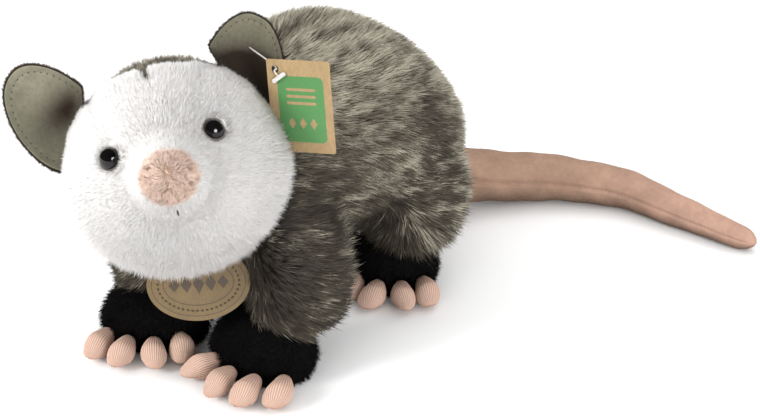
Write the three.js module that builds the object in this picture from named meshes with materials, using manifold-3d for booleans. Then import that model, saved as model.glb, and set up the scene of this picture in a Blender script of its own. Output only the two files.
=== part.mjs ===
// A stuffed plush opossum that stands on its four paws with its head turned to its left.
// Millimetres, +Z up. The toy looks along -Y, its left side is +X and the floor is z = 0.
// Every solid reaches to the tips of its pile, so the fabric itself lies a pile's length inside.

import * as THREE from 'three';
import { mergeVertices } from 'three/addons/utils/BufferGeometryUtils.js';
import Module from 'manifold-3d';

const wasm = await Module();
wasm.setup();

const degrees = THREE.MathUtils.degToRad;

// Gap between pieces that touch
const GAP = 0.4;
// Points closer than this are one point
const WELD = 1e-4;
// Sides of the blocks that cut shapes, well past the toy
const BLOCK = 800;

// Head: a round pillow that tapers to the snout
const HEAD = {
  centre: [5, -126, 126],
  turn: 41,
  tip: 25,
  tilt: 14,
  sides: 22,
  seamForward: -7,
  seamTilt: 20,
  snoutForward: 43,
  stations: [
    { forward: -55, rise: 4, w: 0, up: 0, down: 0 },
    { forward: -48, rise: 4, w: 27, up: 26, down: 24 },
    { forward: -28, rise: 2, w: 48, up: 48, down: 46 },
    { forward: -4, rise: 0, w: 58, up: 56.5, down: 56 },
    { forward: 16, rise: -1, w: 55, up: 51, down: 53.5 },
    { forward: 32, rise: -3, w: 41, up: 38, down: 41 },
    { forward: 43, rise: -6, w: 26, up: 26, down: 27 },
    { forward: 56, rise: -7, w: 20.5, up: 19.5, down: 21 },
    { forward: 68, rise: -7, w: 16.5, up: 14.5, down: 16 },
    { forward: 74, rise: -7, w: 12, up: 10.5, down: 12 },
    { forward: 76, rise: -7, w: 0, up: 0, down: 0 },
  ],
};
const NOSE = { forward: 74, rise: -6, halfWidth: 15.5, halfHeight: 14.2, halfDepth: 12 };
const EYE = { diameter: 12.5, apart: 54, aside: -1.8, rise: 10.5, forward: 36 };

// Ears: cupped lobes of felt with a plush back, sewn to the sides of the head and wider at the root.
// The edge nearer to the crown is pinched forward at the root.
const EARS = {
  left: {
    side: 1,
    clock: 50.5,
    centreOut: 65.7,
    lean: 9,
    halfAlong: 21.6,
    halfOut: 23.3,
    taper: 0.39,
    roundness: 0.79,
    slant: -0.24,
  },
  right: {
    side: -1,
    clock: 53.5,
    centreOut: 67.1,
    lean: 13.4,
    halfAlong: 22.1,
    halfOut: 31.6,
    taper: 0.18,
    roundness: 0.94,
    slant: 0.2,
  },
};
const EAR = {
  forward: -14,
  cup: 12,
  rimShare: 0.35,
  pinch: { from: -0.1, to: -0.45, narrow: 0.4, curl: 7 },
  felt: 1.4,
  plush: 2.4,
  rings: 3,
  sides: 20,
};

// Trunk: the back arches over the hips and falls to the chest
const TRUNK = {
  sides: 20,
  neckAlong: -62,
  stations: [
    { at: [0, -110, 78], w: 0, up: 0, down: 0 },
    { at: [0, -103, 80], w: 27, up: 30, down: 24 },
    { at: [0, -76, 92], w: 45, up: 54, down: 44 },
    { at: [0, -38, 101], w: 54, up: 70, down: 60 },
    { at: [0, 4, 102], w: 58, up: 69, down: 66 },
    { at: [0, 42, 95], w: 59, up: 58, down: 64 },
    { at: [0, 74, 82], w: 47, up: 43, down: 52 },
    { at: [0, 92, 68], w: 25, up: 26, down: 30 },
    { at: [0, 98, 62], w: 0, up: 0, down: 0 },
  ],
};
// Legs: rings one above the other, with separate half-lengths to the front and the back
const LEG_SIDES = 12;
const FRONT_LEG = [
  { z: 24, out: 0, w: 0, front: 0, back: 0 },
  { z: 25, out: 0, w: 26, front: 25, back: 26 },
  { z: 33, out: 0, w: 31, front: 29, back: 30 },
  { z: 52, out: 0, w: 31, front: 29, back: 31 },
  { z: 70, out: -2, w: 29, front: 29, back: 33 },
  { z: 90, out: -9, w: 25, front: 25, back: 32 },
  { z: 107, out: -19, w: 15, front: 16, back: 22 },
  { z: 113, out: -22, w: 0, front: 0, back: 0 },
];
const HIND_LEG = [
  { z: 24, out: -2, w: 0, front: 0, back: 0 },
  { z: 25, out: -2, w: 22, front: 22, back: 24 },
  { z: 33, out: 0, w: 29, front: 30, back: 37 },
  { z: 48, out: 1, w: 32, front: 36, back: 42 },
  { z: 68, out: -1, w: 32, front: 38, back: 43 },
  { z: 88, out: -8, w: 26, front: 31, back: 37 },
  { z: 102, out: -16, w: 16, front: 18, back: 22 },
  { z: 107, out: -20, w: 0, front: 0, back: 0 },
];
const LEGS = {
  front_left: { at: [44, -79.5], side: 1, rings: FRONT_LEG },
  front_right: { at: [-42, -94], side: -1, rings: FRONT_LEG },
  hind_left: { at: [36, 34], side: 1, rings: HIND_LEG },
  hind_right: { at: [-36, 36], side: -1, rings: HIND_LEG },
};

// Paws: short black plush cushions with four stuffed toes each
const PAW = {
  halfWidth: 29,
  halfLength: 27,
  height: 40,
  sides: 14,
  // Height and width of each ring, as shares of the paw's own
  profile: [
    [-0.05, 0],
    [-0.0375, 0.78],
    [0.08, 0.9],
    [0.3, 1],
    [0.58, 0.87],
    [0.84, 0.6],
    [1, 0],
  ],
};
const TOE = {
  count: 4,
  turnShare: 0.6,
  length: 25,
  radius: 7.9,
  droop: 7,
  flat: 0.5,
  sides: 8,
  // Width and distance from the paw, as shares of the radius and the length
  profile: [
    [0, 0],
    [0.66, 0.03],
    [0.82, 0.3],
    [1, 0.58],
    [0.84, 0.8],
    [0.48, 0.95],
    [0, 1],
  ],
};
// The front paws are wider than the hind ones, on the side that faces the other paw
const PAWS = {
  front_left: { at: [38, -94], turn: 7, spread: 25, reach: 49, wider: 4, aside: -4 },
  front_right: { at: [-39, -108], turn: 33, spread: 25, reach: 46, wider: 4, aside: 4 },
  hind_left: { at: [30, 25], turn: 33, spread: 24, reach: 45.5, wider: 0, aside: 0 },
  hind_right: { at: [-33, 29], turn: -18, spread: 24, reach: 46, wider: 0, aside: 0 },
};

// Tail: one stuffed tube of short velour that bends to the toy's left and lies on the floor
const TAIL = {
  path: [
    [0, 78, 46],
    [1, 104, 30],
    [9, 137, 19],
    [44, 173, 14],
    [85, 191, 11.8],
    [132, 189, 9.2],
    [182, 186, 6.6],
  ],
  rootRadius: 19.2,
  tipRadius: 7.2,
  taper: 1.45,
  lengths: 3,
  rings: 6,
  sides: 12,
  // Half of the parting between two lengths, and the rounded end, as shares of the whole tail
  parting: 0.001,
  roundEnd: 0.045,
  roundTurns: [0, 35, 65],
};

// Cards that it wears: a hang tag on a moulded pin through the ear, and an oval card on the chest
const HANG_TAG = {
  width: 35,
  height: 49,
  thick: 0.8,
  corner: 1.2,
  hole: 2.1,
  holeInset: [4.6, 5.2],
  centre: [51, -80, 153.5],
  turn: 16,
  lean: -5,
  roll: -6,
};
const PIN = {
  radius: 0.45,
  steps: 10,
  pierce: [-0.07, 0.24],
  bar: [8.5, 1.2, 2.8],
  barAt: [2.4, -4],
  barTurn: 35,
};
const OVAL_TAG = {
  width: 55,
  height: 40,
  thick: 1,
  centre: [13, -121, 56],
  turn: 38,
  lean: -18,
  roll: -5,
};

const finishes = {
  face: { color: 0xf1eeeb, roughness: 0.95 },
  grey: { color: 0x8c877a, roughness: 0.95 },
  nose: { color: 0xd9b39e, roughness: 0.95 },
  eye: { color: 0x0b0b0c, roughness: 0.08 },
  felt: { color: 0x8a8472, roughness: 0.95 },
  earPlush: { color: 0x3a322a, roughness: 0.95 },
  paw: { color: 0x0e0d0d, roughness: 0.95 },
  toe: { color: 0xe0b8a4, roughness: 0.85 },
  tail: { color: 0xbb9480, roughness: 0.9 },
  card: { color: 0xae8f62, roughness: 0.8 },
  pin: { color: 0xe8e4e0, roughness: 0.3 },
};

// Geometry helpers

function welded(geometry) {
  const bare = geometry.clone();
  bare.deleteAttribute('normal');
  bare.deleteAttribute('uv');
  return mergeVertices(bare, WELD);
}

function solidOf(geometry) {
  const merged = welded(geometry);
  const solid = new wasm.Manifold(
    new wasm.Mesh({
      numProp: 3,
      vertProperties: new Float32Array(merged.attributes.position.array),
      triVerts: new Uint32Array(merged.index.array),
    }),
  );
  return solid;
}

function geometryOf(solid) {
  const mesh = solid.getMesh();
  const geometry = new THREE.BufferGeometry();
  geometry.setAttribute('position', new THREE.BufferAttribute(mesh.vertProperties, 3));
  geometry.setIndex(new THREE.BufferAttribute(mesh.triVerts, 1));
  geometry.computeVertexNormals();
  return geometry;
}

// The same shape with its surface moved outward, for the hollow that it leaves in a neighbour
function swell(geometry, amount) {
  const merged = welded(geometry);
  merged.computeVertexNormals();
  const { position, normal } = merged.attributes;
  for (let i = 0; i < position.count; i++) {
    position.setXYZ(
      i,
      position.getX(i) + normal.getX(i) * amount,
      position.getY(i) + normal.getY(i) * amount,
      position.getZ(i) + normal.getZ(i) * amount,
    );
  }
  return merged;
}

// Closed skin over rings of points, with one point at each end
function skin(first, rings, last) {
  const sides = rings[0].length;
  const points = [first, ...rings.flat(), last];
  const index = [];
  const at = (ring, side) => 1 + ring * sides + (side % sides);
  for (let side = 0; side < sides; side++) {
    index.push(0, at(0, side + 1), at(0, side));
    for (let ring = 0; ring + 1 < rings.length; ring++) {
      index.push(at(ring, side), at(ring, side + 1), at(ring + 1, side));
      index.push(at(ring + 1, side), at(ring, side + 1), at(ring + 1, side + 1));
    }
    index.push(points.length - 1, at(rings.length - 1, side), at(rings.length - 1, side + 1));
  }
  const geometry = new THREE.BufferGeometry().setFromPoints(points);
  geometry.setIndex(index);
  return geometry;
}

// Smooth values between rows of numbers, spaced by the distance between the rows
function smooth(rows, steps) {
  const times = [0];
  for (let i = 1; i < rows.length; i++) {
    times.push(times[i - 1] + Math.hypot(...rows[i].map((value, k) => value - rows[i - 1][k])));
  }
  const curve = new THREE.CubicInterpolant(times, rows.flat(), rows[0].length);
  const result = [];
  for (let i = 0; i + 1 < rows.length; i++) {
    for (let step = 0; step < steps; step++) {
      const time = THREE.MathUtils.lerp(times[i], times[i + 1], step / steps);
      result.push(Array.from(curve.evaluate(time)));
    }
  }
  return [...result, rows[rows.length - 1]];
}

// Loft over stations: `side` and `rise` are the axes of every ring
function loft(stations, { side, rise, sides, steps }) {
  const rows = stations.map(({ at, w, up, down }) => [...at, w, up, down]);
  const sampled = smooth(rows, steps);
  const ahead = new THREE.Vector3(...stations[stations.length - 1].at);
  ahead.sub(new THREE.Vector3(...stations[0].at));
  const outward = Math.sign(new THREE.Vector3().crossVectors(side, rise).dot(ahead));
  const rings = sampled.slice(1, -1).map(([x, y, z, w, up, down]) => {
    const ring = [];
    for (let k = 0; k < sides; k++) {
      const angle = (k / sides) * 2 * Math.PI;
      const height = Math.sin(angle) > 0 ? up : down;
      ring.push(
        new THREE.Vector3(x, y, z)
          .addScaledVector(side, outward * w * Math.cos(angle))
          .addScaledVector(rise, height * Math.sin(angle)),
      );
    }
    return ring;
  });
  const end = ([x, y, z]) => new THREE.Vector3(x, y, z);
  return skin(end(sampled[0]), rings, end(sampled[sampled.length - 1]));
}

const X = new THREE.Vector3(1, 0, 0);
const Y = new THREE.Vector3(0, 1, 0);
const Z = new THREE.Vector3(0, 0, 1);

// The room above the floor, which gives soles and toes their flats
const aboveFloor = solidOf(new THREE.BoxGeometry(BLOCK, BLOCK, BLOCK).translate(0, 0, BLOCK / 2));

// Assembly: each piece gives way to the pieces made before it

const toy = new THREE.Group();
const made = [];

function frame(parent, position, rotation, order = 'XYZ') {
  const group = new THREE.Group();
  group.position.set(...position);
  group.rotation.set(...rotation.map(degrees), order);
  parent.add(group);
  group.updateWorldMatrix(true, false);
  return group;
}

// Later pieces keep the gap to this shape
function keepClear(placed) {
  const outer = swell(placed, GAP);
  outer.computeBoundingBox();
  made.push({ swollen: solidOf(outer), box: outer.boundingBox });
}

function add(name, parent, geometry, finish, { floor = false } = {}) {
  const placed = geometry.clone().applyMatrix4(parent.matrixWorld);
  placed.computeBoundingBox();
  let solid = solidOf(placed);
  if (floor) solid = solid.intersect(aboveFloor);
  for (const other of made) {
    if (other.box.intersectsBox(placed.boundingBox)) solid = solid.subtract(other.swollen);
  }
  const body = solid.decompose().sort((a, b) => b.volume() - a.volume())[0];
  const local = geometryOf(body).applyMatrix4(parent.matrixWorld.clone().invert());
  const mesh = new THREE.Mesh(local, new THREE.MeshStandardMaterial({ metalness: 0, ...finish }));
  mesh.name = name;
  parent.add(mesh);
  keepClear(placed);
}

// Head

const head = frame(toy, HEAD.centre, [-HEAD.tip, -HEAD.tilt, HEAD.turn], 'ZXY');

function headOutline() {
  const stations = HEAD.stations.map(({ forward, rise, ...half }) => ({
    at: [0, -forward, rise],
    ...half,
  }));
  return loft(stations, { side: X, rise: Z, sides: HEAD.sides, steps: 2 });
}

// Room between two distances forward of the head's centre
function headSlab(from, to) {
  return new THREE.BoxGeometry(BLOCK, to - from, BLOCK).translate(0, -(from + to) / 2, 0);
}

// The crown's seam leans forward at the top, so that the grey plush shows over the brow
function buildHeadPieces() {
  const { seamForward: seam, seamTilt, snoutForward: snout } = HEAD;
  const behindSeam = headSlab(-BLOCK, seam - GAP / 2).rotateX(degrees(seamTilt));
  const beforeSeam = headSlab(seam + GAP / 2, BLOCK).rotateX(degrees(seamTilt));
  const whole = solidOf(headOutline());
  const cheeks = whole.intersect(solidOf(headSlab(-BLOCK, snout - GAP / 2)));
  return {
    muzzle: whole.intersect(solidOf(headSlab(snout + GAP / 2, BLOCK))),
    head_face: cheeks.intersect(solidOf(beforeSeam)),
    head_back: cheeks.intersect(solidOf(behindSeam)),
  };
}

function buildEyes() {
  for (const [name, side] of [['left', 1], ['right', -1]]) {
    const eye = new THREE.SphereGeometry(EYE.diameter / 2, 10, 8);
    eye.translate((side * EYE.apart) / 2 + EYE.aside, -EYE.forward, EYE.rise);
    add(`eye_${name}`, head, eye, finishes.eye);
  }
}

function buildNose() {
  const nose = new THREE.SphereGeometry(1, 14, 8);
  nose.scale(NOSE.halfWidth, NOSE.halfDepth, NOSE.halfHeight);
  nose.translate(0, -NOSE.forward, NOSE.rise);
  add('nose', head, nose, finishes.nose);
}

function buildHead() {
  const before = made.length;
  for (const [name, solid] of Object.entries(buildHeadPieces())) {
    add(name, head, geometryOf(solid), name === 'head_back' ? finishes.grey : finishes.face);
  }
  // What comes later keeps clear of the whole head at once
  made.length = before;
  keepClear(headOutline().applyMatrix4(head.matrixWorld));
}

// Ears

const ears = {};

// A point of the cupped ear, a given depth in front of its middle surface.
// Its place across and up the lobe runs from -1 to 1.
function earPoint(ear, across, up, depth) {
  const { pinch } = EAR;
  const share = Math.hypot(across, up);
  const towardCrown = across * ear.side < 0;
  const pinched = towardCrown ? 1 - THREE.MathUtils.smoothstep(up, pinch.to, pinch.from) : 0;
  const curl = EAR.cup * (across ** 2 + EAR.rimShare * share ** 4);
  const fold = pinch.curl * pinched * across ** 2;
  const wide = ear.halfAlong * (1 - ear.taper * up) * (1 - pinch.narrow * pinched);
  const along = wide * across + ear.slant * ear.halfAlong * up;
  return new THREE.Vector3(along, -(depth + curl + fold), ear.halfOut * up);
}

// One layer of an ear between two depths
function earLayer(ear, from, to) {
  const { rings, sides } = EAR;
  const squared = (value) => Math.sign(value) * Math.abs(value) ** ear.roundness;
  const point = (share, angle, depth) =>
    earPoint(ear, share * squared(Math.cos(angle)), share * squared(Math.sin(angle)), depth);
  const ringAt = (share, depth) =>
    Array.from({ length: sides }, (_, k) => point(share, (k / sides) * 2 * Math.PI, depth));
  const shares = Array.from({ length: rings }, (_, k) => (k + 1) / rings);
  const back = shares.map((share) => ringAt(share, from));
  const front = shares.map((share) => ringAt(share, to)).reverse();
  return skin(point(0, 0, from), [...back, ...front], point(0, 0, to));
}

function buildEars() {
  for (const [name, ear] of Object.entries(EARS)) {
    const clock = degrees(ear.clock);
    const out = ear.centreOut;
    const centre = [ear.side * out * Math.sin(clock), -EAR.forward, out * Math.cos(clock)];
    const place = frame(head, centre, [0, ear.side * (ear.clock - ear.lean), 0]);
    ears[name] = place;
    add(`ear_${name}_inner`, place, earLayer(ear, 0, EAR.felt), finishes.felt);
    const behind = -2 * GAP;
    add(`ear_${name}_back`, place, earLayer(ear, behind - EAR.plush, behind), finishes.earPlush);
  }
}

// Paws

function toeShape() {
  const points = TOE.profile.map(
    ([wide, along]) => new THREE.Vector2(wide * TOE.radius, along * TOE.length),
  );
  return new THREE.LatheGeometry(points, TOE.sides).rotateX(Math.PI);
}

function pawShape(wider, aside) {
  const { halfWidth, halfLength, height, sides, profile } = PAW;
  const stations = profile.map(([high, wide]) => ({
    at: [aside, 0, high * height],
    w: (halfWidth + wider) * wide,
    up: halfLength * wide,
    down: halfLength * wide,
  }));
  return loft(stations, { side: X, rise: Y, sides, steps: 1 });
}

function buildPaw(name, { at, turn, spread, reach, wider, aside }) {
  const paw = frame(toy, [...at, 0], [0, 0, turn]);
  for (let k = 0; k < TOE.count; k++) {
    const splay = (k - (TOE.count - 1) / 2) * spread;
    const heading = degrees(splay);
    const turned = degrees(splay * TOE.turnShare);
    const toe = toeShape();
    toe.translate(0, TOE.length, 0);
    toe.rotateX(degrees(TOE.droop));
    toe.rotateZ(turned);
    const tip = [reach * Math.sin(heading), -reach * Math.cos(heading)];
    toe.translate(tip[0], tip[1], 0);
    toe.computeBoundingBox();
    toe.translate(0, 0, -toe.boundingBox.min.z - TOE.flat);
    add(`${name}_toe_${k + 1}`, paw, toe, finishes.toe, { floor: true });
  }
  add(`${name}_paw`, paw, pawShape(wider, aside), finishes.paw, { floor: true });
}

// Legs

function legShape({ at, side, rings }) {
  const stations = rings.map(({ z, out, w, front, back }) => ({
    at: [at[0] + side * out, at[1], z],
    w,
    up: back,
    down: front,
  }));
  return loft(stations, { side: X, rise: Y, sides: LEG_SIDES, steps: 1 });
}

// Trunk, parted from the neck by one thin upright cut

function trunkSlice(from, to) {
  const whole = loft(TRUNK.stations, { side: X, rise: Z, sides: TRUNK.sides, steps: 2 });
  const slab = new THREE.BoxGeometry(BLOCK, to - from, BLOCK).translate(0, (from + to) / 2, 0);
  return geometryOf(solidOf(whole).intersect(solidOf(slab)));
}

function buildTrunk() {
  add('neck', toy, trunkSlice(-BLOCK, TRUNK.neckAlong - GAP), finishes.grey);
  add('trunk', toy, trunkSlice(TRUNK.neckAlong, BLOCK), finishes.grey);
}

// Tail

function tailLength(from, to) {
  const path = new THREE.CatmullRomCurve3(TAIL.path.map((point) => new THREE.Vector3(...point)));
  const ringAt = (share, shrink) => {
    const centre = path.getPointAt(share);
    const ahead = path.getTangentAt(share);
    const side = new THREE.Vector3().crossVectors(ahead, Z).normalize();
    const rise = new THREE.Vector3().crossVectors(side, ahead);
    const radius = THREE.MathUtils.lerp(TAIL.rootRadius, TAIL.tipRadius, share ** TAIL.taper) * shrink;
    return Array.from({ length: TAIL.sides }, (_, k) => {
      const angle = (k / TAIL.sides) * 2 * Math.PI;
      return centre
        .clone()
        .addScaledVector(side, -radius * Math.cos(angle))
        .addScaledVector(rise, radius * Math.sin(angle));
    });
  };
  const rings = [];
  for (let k = 0; k <= TAIL.rings; k++) {
    rings.push(ringAt(THREE.MathUtils.lerp(from, to, k / TAIL.rings), 1));
  }
  let last = path.getPointAt(to);
  if (to === 1) {
    rings.pop();
    for (const bend of TAIL.roundTurns.map(degrees)) {
      rings.push(ringAt(1 - TAIL.roundEnd * (1 - Math.sin(bend)), Math.cos(bend)));
    }
    last = path.getPointAt(1);
  }
  return skin(path.getPointAt(from), rings, last);
}

function buildTail() {
  const length = 1 / TAIL.lengths;
  ['root', 'middle', 'tip'].forEach((part, k) => {
    const from = k * length + (k > 0 ? TAIL.parting : 0);
    const to = (k + 1) * length - (k + 1 < TAIL.lengths ? TAIL.parting : 0);
    add(`tail_${part}`, toy, tailLength(from, to), finishes.tail, { floor: true });
  });
}

// Cards

function cardShape(outline, thick, segments, holes = []) {
  outline.holes.push(...holes);
  const card = new THREE.ExtrudeGeometry(outline, {
    depth: thick,
    bevelEnabled: false,
    curveSegments: segments,
  });
  return card.translate(0, 0, -thick / 2).rotateX(degrees(90));
}

function roundedOutline(width, height, corner) {
  const [x, y] = [width / 2, height / 2];
  const shape = new THREE.Shape();
  shape.absarc(x - corner, y - corner, corner, 0, degrees(90));
  shape.absarc(corner - x, y - corner, corner, degrees(90), degrees(180));
  shape.absarc(corner - x, corner - y, corner, degrees(180), degrees(270));
  shape.absarc(x - corner, corner - y, corner, degrees(270), degrees(360));
  return shape;
}

// The moulded pin runs from the felt of the left ear, through the tag's hole, to a flat bar
function buildPin(tag, holeAt) {
  const [across, up] = PIN.pierce;
  const start = earPoint(EARS.left, across, up, EAR.felt + 2 * GAP);
  ears.left.localToWorld(start);
  const inTag = (x, forward, z) => tag.localToWorld(new THREE.Vector3(x, -forward, z));
  const [barX, barZ] = [holeAt[0] + PIN.barAt[0], holeAt[1] + PIN.barAt[1]];
  const front = HANG_TAG.thick / 2 + GAP + PIN.bar[1] / 2;
  const path = new THREE.CatmullRomCurve3([
    start,
    start.clone().lerp(inTag(holeAt[0], -3, holeAt[1]), 0.6),
    inTag(holeAt[0], -1.5, holeAt[1]),
    inTag(holeAt[0], 1.2, holeAt[1] - 0.4),
    inTag(barX, front, barZ),
  ]);
  const section = new THREE.Shape().absarc(0, 0, PIN.radius, 0, 2 * Math.PI);
  const filament = new THREE.ExtrudeGeometry(section, {
    extrudePath: path,
    steps: PIN.steps,
    curveSegments: 3,
  });
  const bar = new THREE.BoxGeometry(...PIN.bar).rotateY(degrees(-PIN.barTurn));
  bar.translate(barX, -front, barZ).applyMatrix4(tag.matrixWorld);
  add('tag_pin', toy, geometryOf(solidOf(filament).add(solidOf(bar))), finishes.pin);
}

function buildTags() {
  const { width, height, corner, thick, holeInset, hole } = HANG_TAG;
  const tag = frame(toy, HANG_TAG.centre, [HANG_TAG.lean, HANG_TAG.roll, HANG_TAG.turn], 'ZXY');
  const opening = new THREE.Path();
  const holeAt = [holeInset[0] - width / 2, height / 2 - holeInset[1]];
  for (const turn of [360, 240, 120]) {
    opening.absarc(holeAt[0], holeAt[1], hole, degrees(turn), degrees(turn - 120), true);
  }
  const card = cardShape(roundedOutline(width, height, corner), thick, 2, [opening]);
  add('hang_tag', tag, card, finishes.card);
  buildPin(tag, holeAt);

  const medal = frame(toy, OVAL_TAG.centre, [OVAL_TAG.lean, OVAL_TAG.roll, OVAL_TAG.turn], 'ZXY');
  const oval = new THREE.Shape();
  oval.absellipse(0, 0, OVAL_TAG.width / 2, OVAL_TAG.height / 2, 0, 2 * Math.PI);
  add('oval_tag', medal, cardShape(oval, OVAL_TAG.thick, 16), finishes.card);
}

buildEyes();
buildNose();
buildHead();
buildEars();
for (const [name, paw] of Object.entries(PAWS)) buildPaw(name, paw);
buildTags();
for (const [name, leg] of Object.entries(LEGS)) add(`${name}_leg`, toy, legShape(leg), finishes.grey);
buildTail();
buildTrunk();

// The origin lies on the floor under the middle of the whole toy
const bounds = new THREE.Box3().setFromObject(toy, true);
const middle = bounds.getCenter(new THREE.Vector3());
toy.position.set(-middle.x, -middle.y, -bounds.min.z);
toy.updateMatrixWorld(true);

export default toy;
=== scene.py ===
"""A stuffed plush opossum, dressed over its fixed frame.

Lengths are metres in the frame's axes: +Z up, the trunk looks along -Y and its left side is +X.
Points on the head are also given in the head's own axes: across to its left, forward, and up.
"""

import contextlib
import math

import bmesh
import bpy
import numpy as np
from mathutils import Matrix, Vector, bvhtree, kdtree, noise


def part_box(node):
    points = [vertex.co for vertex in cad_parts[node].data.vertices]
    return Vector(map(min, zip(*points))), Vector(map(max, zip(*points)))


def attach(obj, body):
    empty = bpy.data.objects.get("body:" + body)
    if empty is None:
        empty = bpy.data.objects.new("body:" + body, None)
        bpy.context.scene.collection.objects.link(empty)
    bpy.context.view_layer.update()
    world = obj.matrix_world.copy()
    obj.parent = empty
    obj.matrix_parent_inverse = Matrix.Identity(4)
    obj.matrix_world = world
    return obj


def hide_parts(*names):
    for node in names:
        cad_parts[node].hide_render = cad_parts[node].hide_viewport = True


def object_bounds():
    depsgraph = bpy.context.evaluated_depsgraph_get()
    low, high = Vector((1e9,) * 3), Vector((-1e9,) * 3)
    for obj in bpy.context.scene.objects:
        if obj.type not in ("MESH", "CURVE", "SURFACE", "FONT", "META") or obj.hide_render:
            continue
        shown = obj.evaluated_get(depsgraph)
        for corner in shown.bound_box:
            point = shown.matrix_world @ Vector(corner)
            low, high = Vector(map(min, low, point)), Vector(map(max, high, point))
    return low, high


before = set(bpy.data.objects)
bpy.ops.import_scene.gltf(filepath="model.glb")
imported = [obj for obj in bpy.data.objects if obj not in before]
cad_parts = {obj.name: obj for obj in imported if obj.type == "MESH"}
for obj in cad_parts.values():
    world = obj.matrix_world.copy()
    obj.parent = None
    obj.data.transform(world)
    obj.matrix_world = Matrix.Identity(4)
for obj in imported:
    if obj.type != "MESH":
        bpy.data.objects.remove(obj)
CAD_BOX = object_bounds()

bl_info = {
    "name": "Plush Opossum",
    "version": (1, 0, 0),
    "blender": (4, 5, 0),
    "location": "View3D > Sidebar > Plush Opossum",
    "description": "Builds the fabrics, pile, eyes, ears, toes and tags of a stuffed opossum",
    "category": "Object",
}

MM = 0.001
BODY = "root"
LIMBS = ("front_left", "front_right", "hind_left", "hind_right")
TOES = range(1, 5)
# A piece of coat stays under 200,000 triangles
COAT_TRIANGLES = 190_000
# Each tuft's patch on the coat's map
PATCH = 0.003
UP = np.array((0.0, 0.0, 1.0))
TAILWARD = np.array((0.0, 1.0, 0.0))
# Gaps between CAD nodes that one skin closes
GAP = 0.5 * MM
# How far beneath the skin a tuft starts, and how near to the floor its points may come
ROOT_DEPTH = 0.4 * MM
FLOOR_GAP = 0.15 * MM


# Vectors


def unit(v):
    return v / np.maximum(np.linalg.norm(v, axis=-1, keepdims=True), 1e-12)


def mix(a, b, share):
    return a + (b - a) * share


def step(low, high, x):
    t = np.clip((x - low) / (high - low), 0, 1)
    return t * t * (3 - 2 * t)


def bell(distance, width):
    return np.exp(-((distance / width) ** 2))


def norm(v):
    return np.linalg.norm(v, axis=-1)


def turns_of(count):
    """Angles at even steps round a circle"""
    return np.linspace(0, 2 * math.pi, count, endpoint=False)


def circle(turns, first, second):
    """Points round a circle of radius 1 that two directions span"""
    return np.outer(np.cos(turns), first) + np.outer(np.sin(turns), second)


def laid(v, normals):
    """v laid flat on the surface"""
    return unit(v - normals * np.sum(v * normals, axis=1, keepdims=True))


def waves(points, size, seed):
    """Smooth noise from -1 to 1 at each point, with features of that size"""
    shift = Vector((seed * 7.3, seed * 3.1, seed * 5.7))
    return np.array([noise.noise(Vector(p) / size + shift) for p in points])


def column(values):
    return np.asarray(values)[:, None]


def centre_of(node):
    low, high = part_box(node)
    return np.array((low + high) / 2)


# The head's own axes, found from the eyes and the nose

EYE_AT = np.array((27.0, 36.0, 10.5)) * MM
# Both eyes sit a little to the right of the face's middle
EYE_ASIDE = -1.8 * MM
NOSE_AT = np.array((0.0, 74.0, -6.0)) * MM
# The seam between the white and the grey plush. It bows back at the sides, and does so from nearer
# to the middle on the right.
SEAM_FORWARD = -9 * MM
SEAM_TILT = math.radians(20)
SEAM_BOW = 10 * MM
SEAM_BOW_WIDE = 28 * MM
SEAM_BOW_LEFT = 16 * MM
SEAM_BOW_RIGHT = 4 * MM
# The crown's own seam ends in a notch: how far to the right, its slant, its width and its lowest end
NOTCH_ASIDE = 1.6 * MM
NOTCH_SLANT = 0.16
NOTCH_WIDE = 1.7 * MM
NOTCH_LOW = 30 * MM


def head_axes():
    """Origin, left, forward and up of the head"""
    left_eye, right_eye = centre_of("eye_left"), centre_of("eye_right")
    left = unit(left_eye - right_eye)
    middle = (left_eye + right_eye) / 2 - EYE_ASIDE * left
    ahead = unit(centre_of("nose") - middle)
    below = np.cross(left, ahead)
    slope = math.atan2(EYE_AT[2] - NOSE_AT[2], NOSE_AT[1] - EYE_AT[1])
    forward = math.cos(slope) * ahead - math.sin(slope) * below
    up = -math.sin(slope) * ahead - math.cos(slope) * below
    origin = middle - EYE_AT[1] * forward - EYE_AT[2] * up
    return origin, left, forward, up


HEAD_ORIGIN, HEAD_LEFT, HEAD_FORWARD, HEAD_UP = head_axes()
HEAD_MATRIX = np.stack((HEAD_LEFT, HEAD_FORWARD, HEAD_UP))
# Where the trunk's own middle stands on the floor, as the head lies from it
TOY = HEAD_ORIGIN - np.array((5.0, -126.0, 126.0)) * MM


def to_head(points):
    return (points - HEAD_ORIGIN) @ HEAD_MATRIX.T


def from_head(points):
    return HEAD_ORIGIN + np.asarray(points) @ HEAD_MATRIX


def eye_at(side):
    """The middle of the left eye, for side 1, or of the right one, for side -1"""
    return EYE_AT * (side, 1, 1) + np.array((EYE_ASIDE, 0, 0))


def beyond_seam(local):
    """Distance in front of the seam between the white and the grey plush"""
    start = np.where(local[:, 0] > 0, SEAM_BOW_LEFT, SEAM_BOW_RIGHT)
    bow = SEAM_BOW * step(0, SEAM_BOW_WIDE, np.abs(local[:, 0]) - start)
    level = local[:, 1] * math.cos(SEAM_TILT) - local[:, 2] * math.sin(SEAM_TILT)
    return level - SEAM_FORWARD + bow


def seam_notch(local):
    """The dark notch that the crown's own seam makes in the white plush"""
    bend = local[:, 0] + NOTCH_ASIDE - NOTCH_SLANT * (local[:, 1] - 14 * MM)
    return bell(bend, NOTCH_WIDE) * (local[:, 2] > NOTCH_LOW)


# Meshes


def finish_object(name, mesh, material):
    mesh.materials.clear()
    mesh.materials.append(material)
    obj = bpy.data.objects.new(name, mesh)
    bpy.context.scene.collection.objects.link(obj)
    return obj


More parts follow.
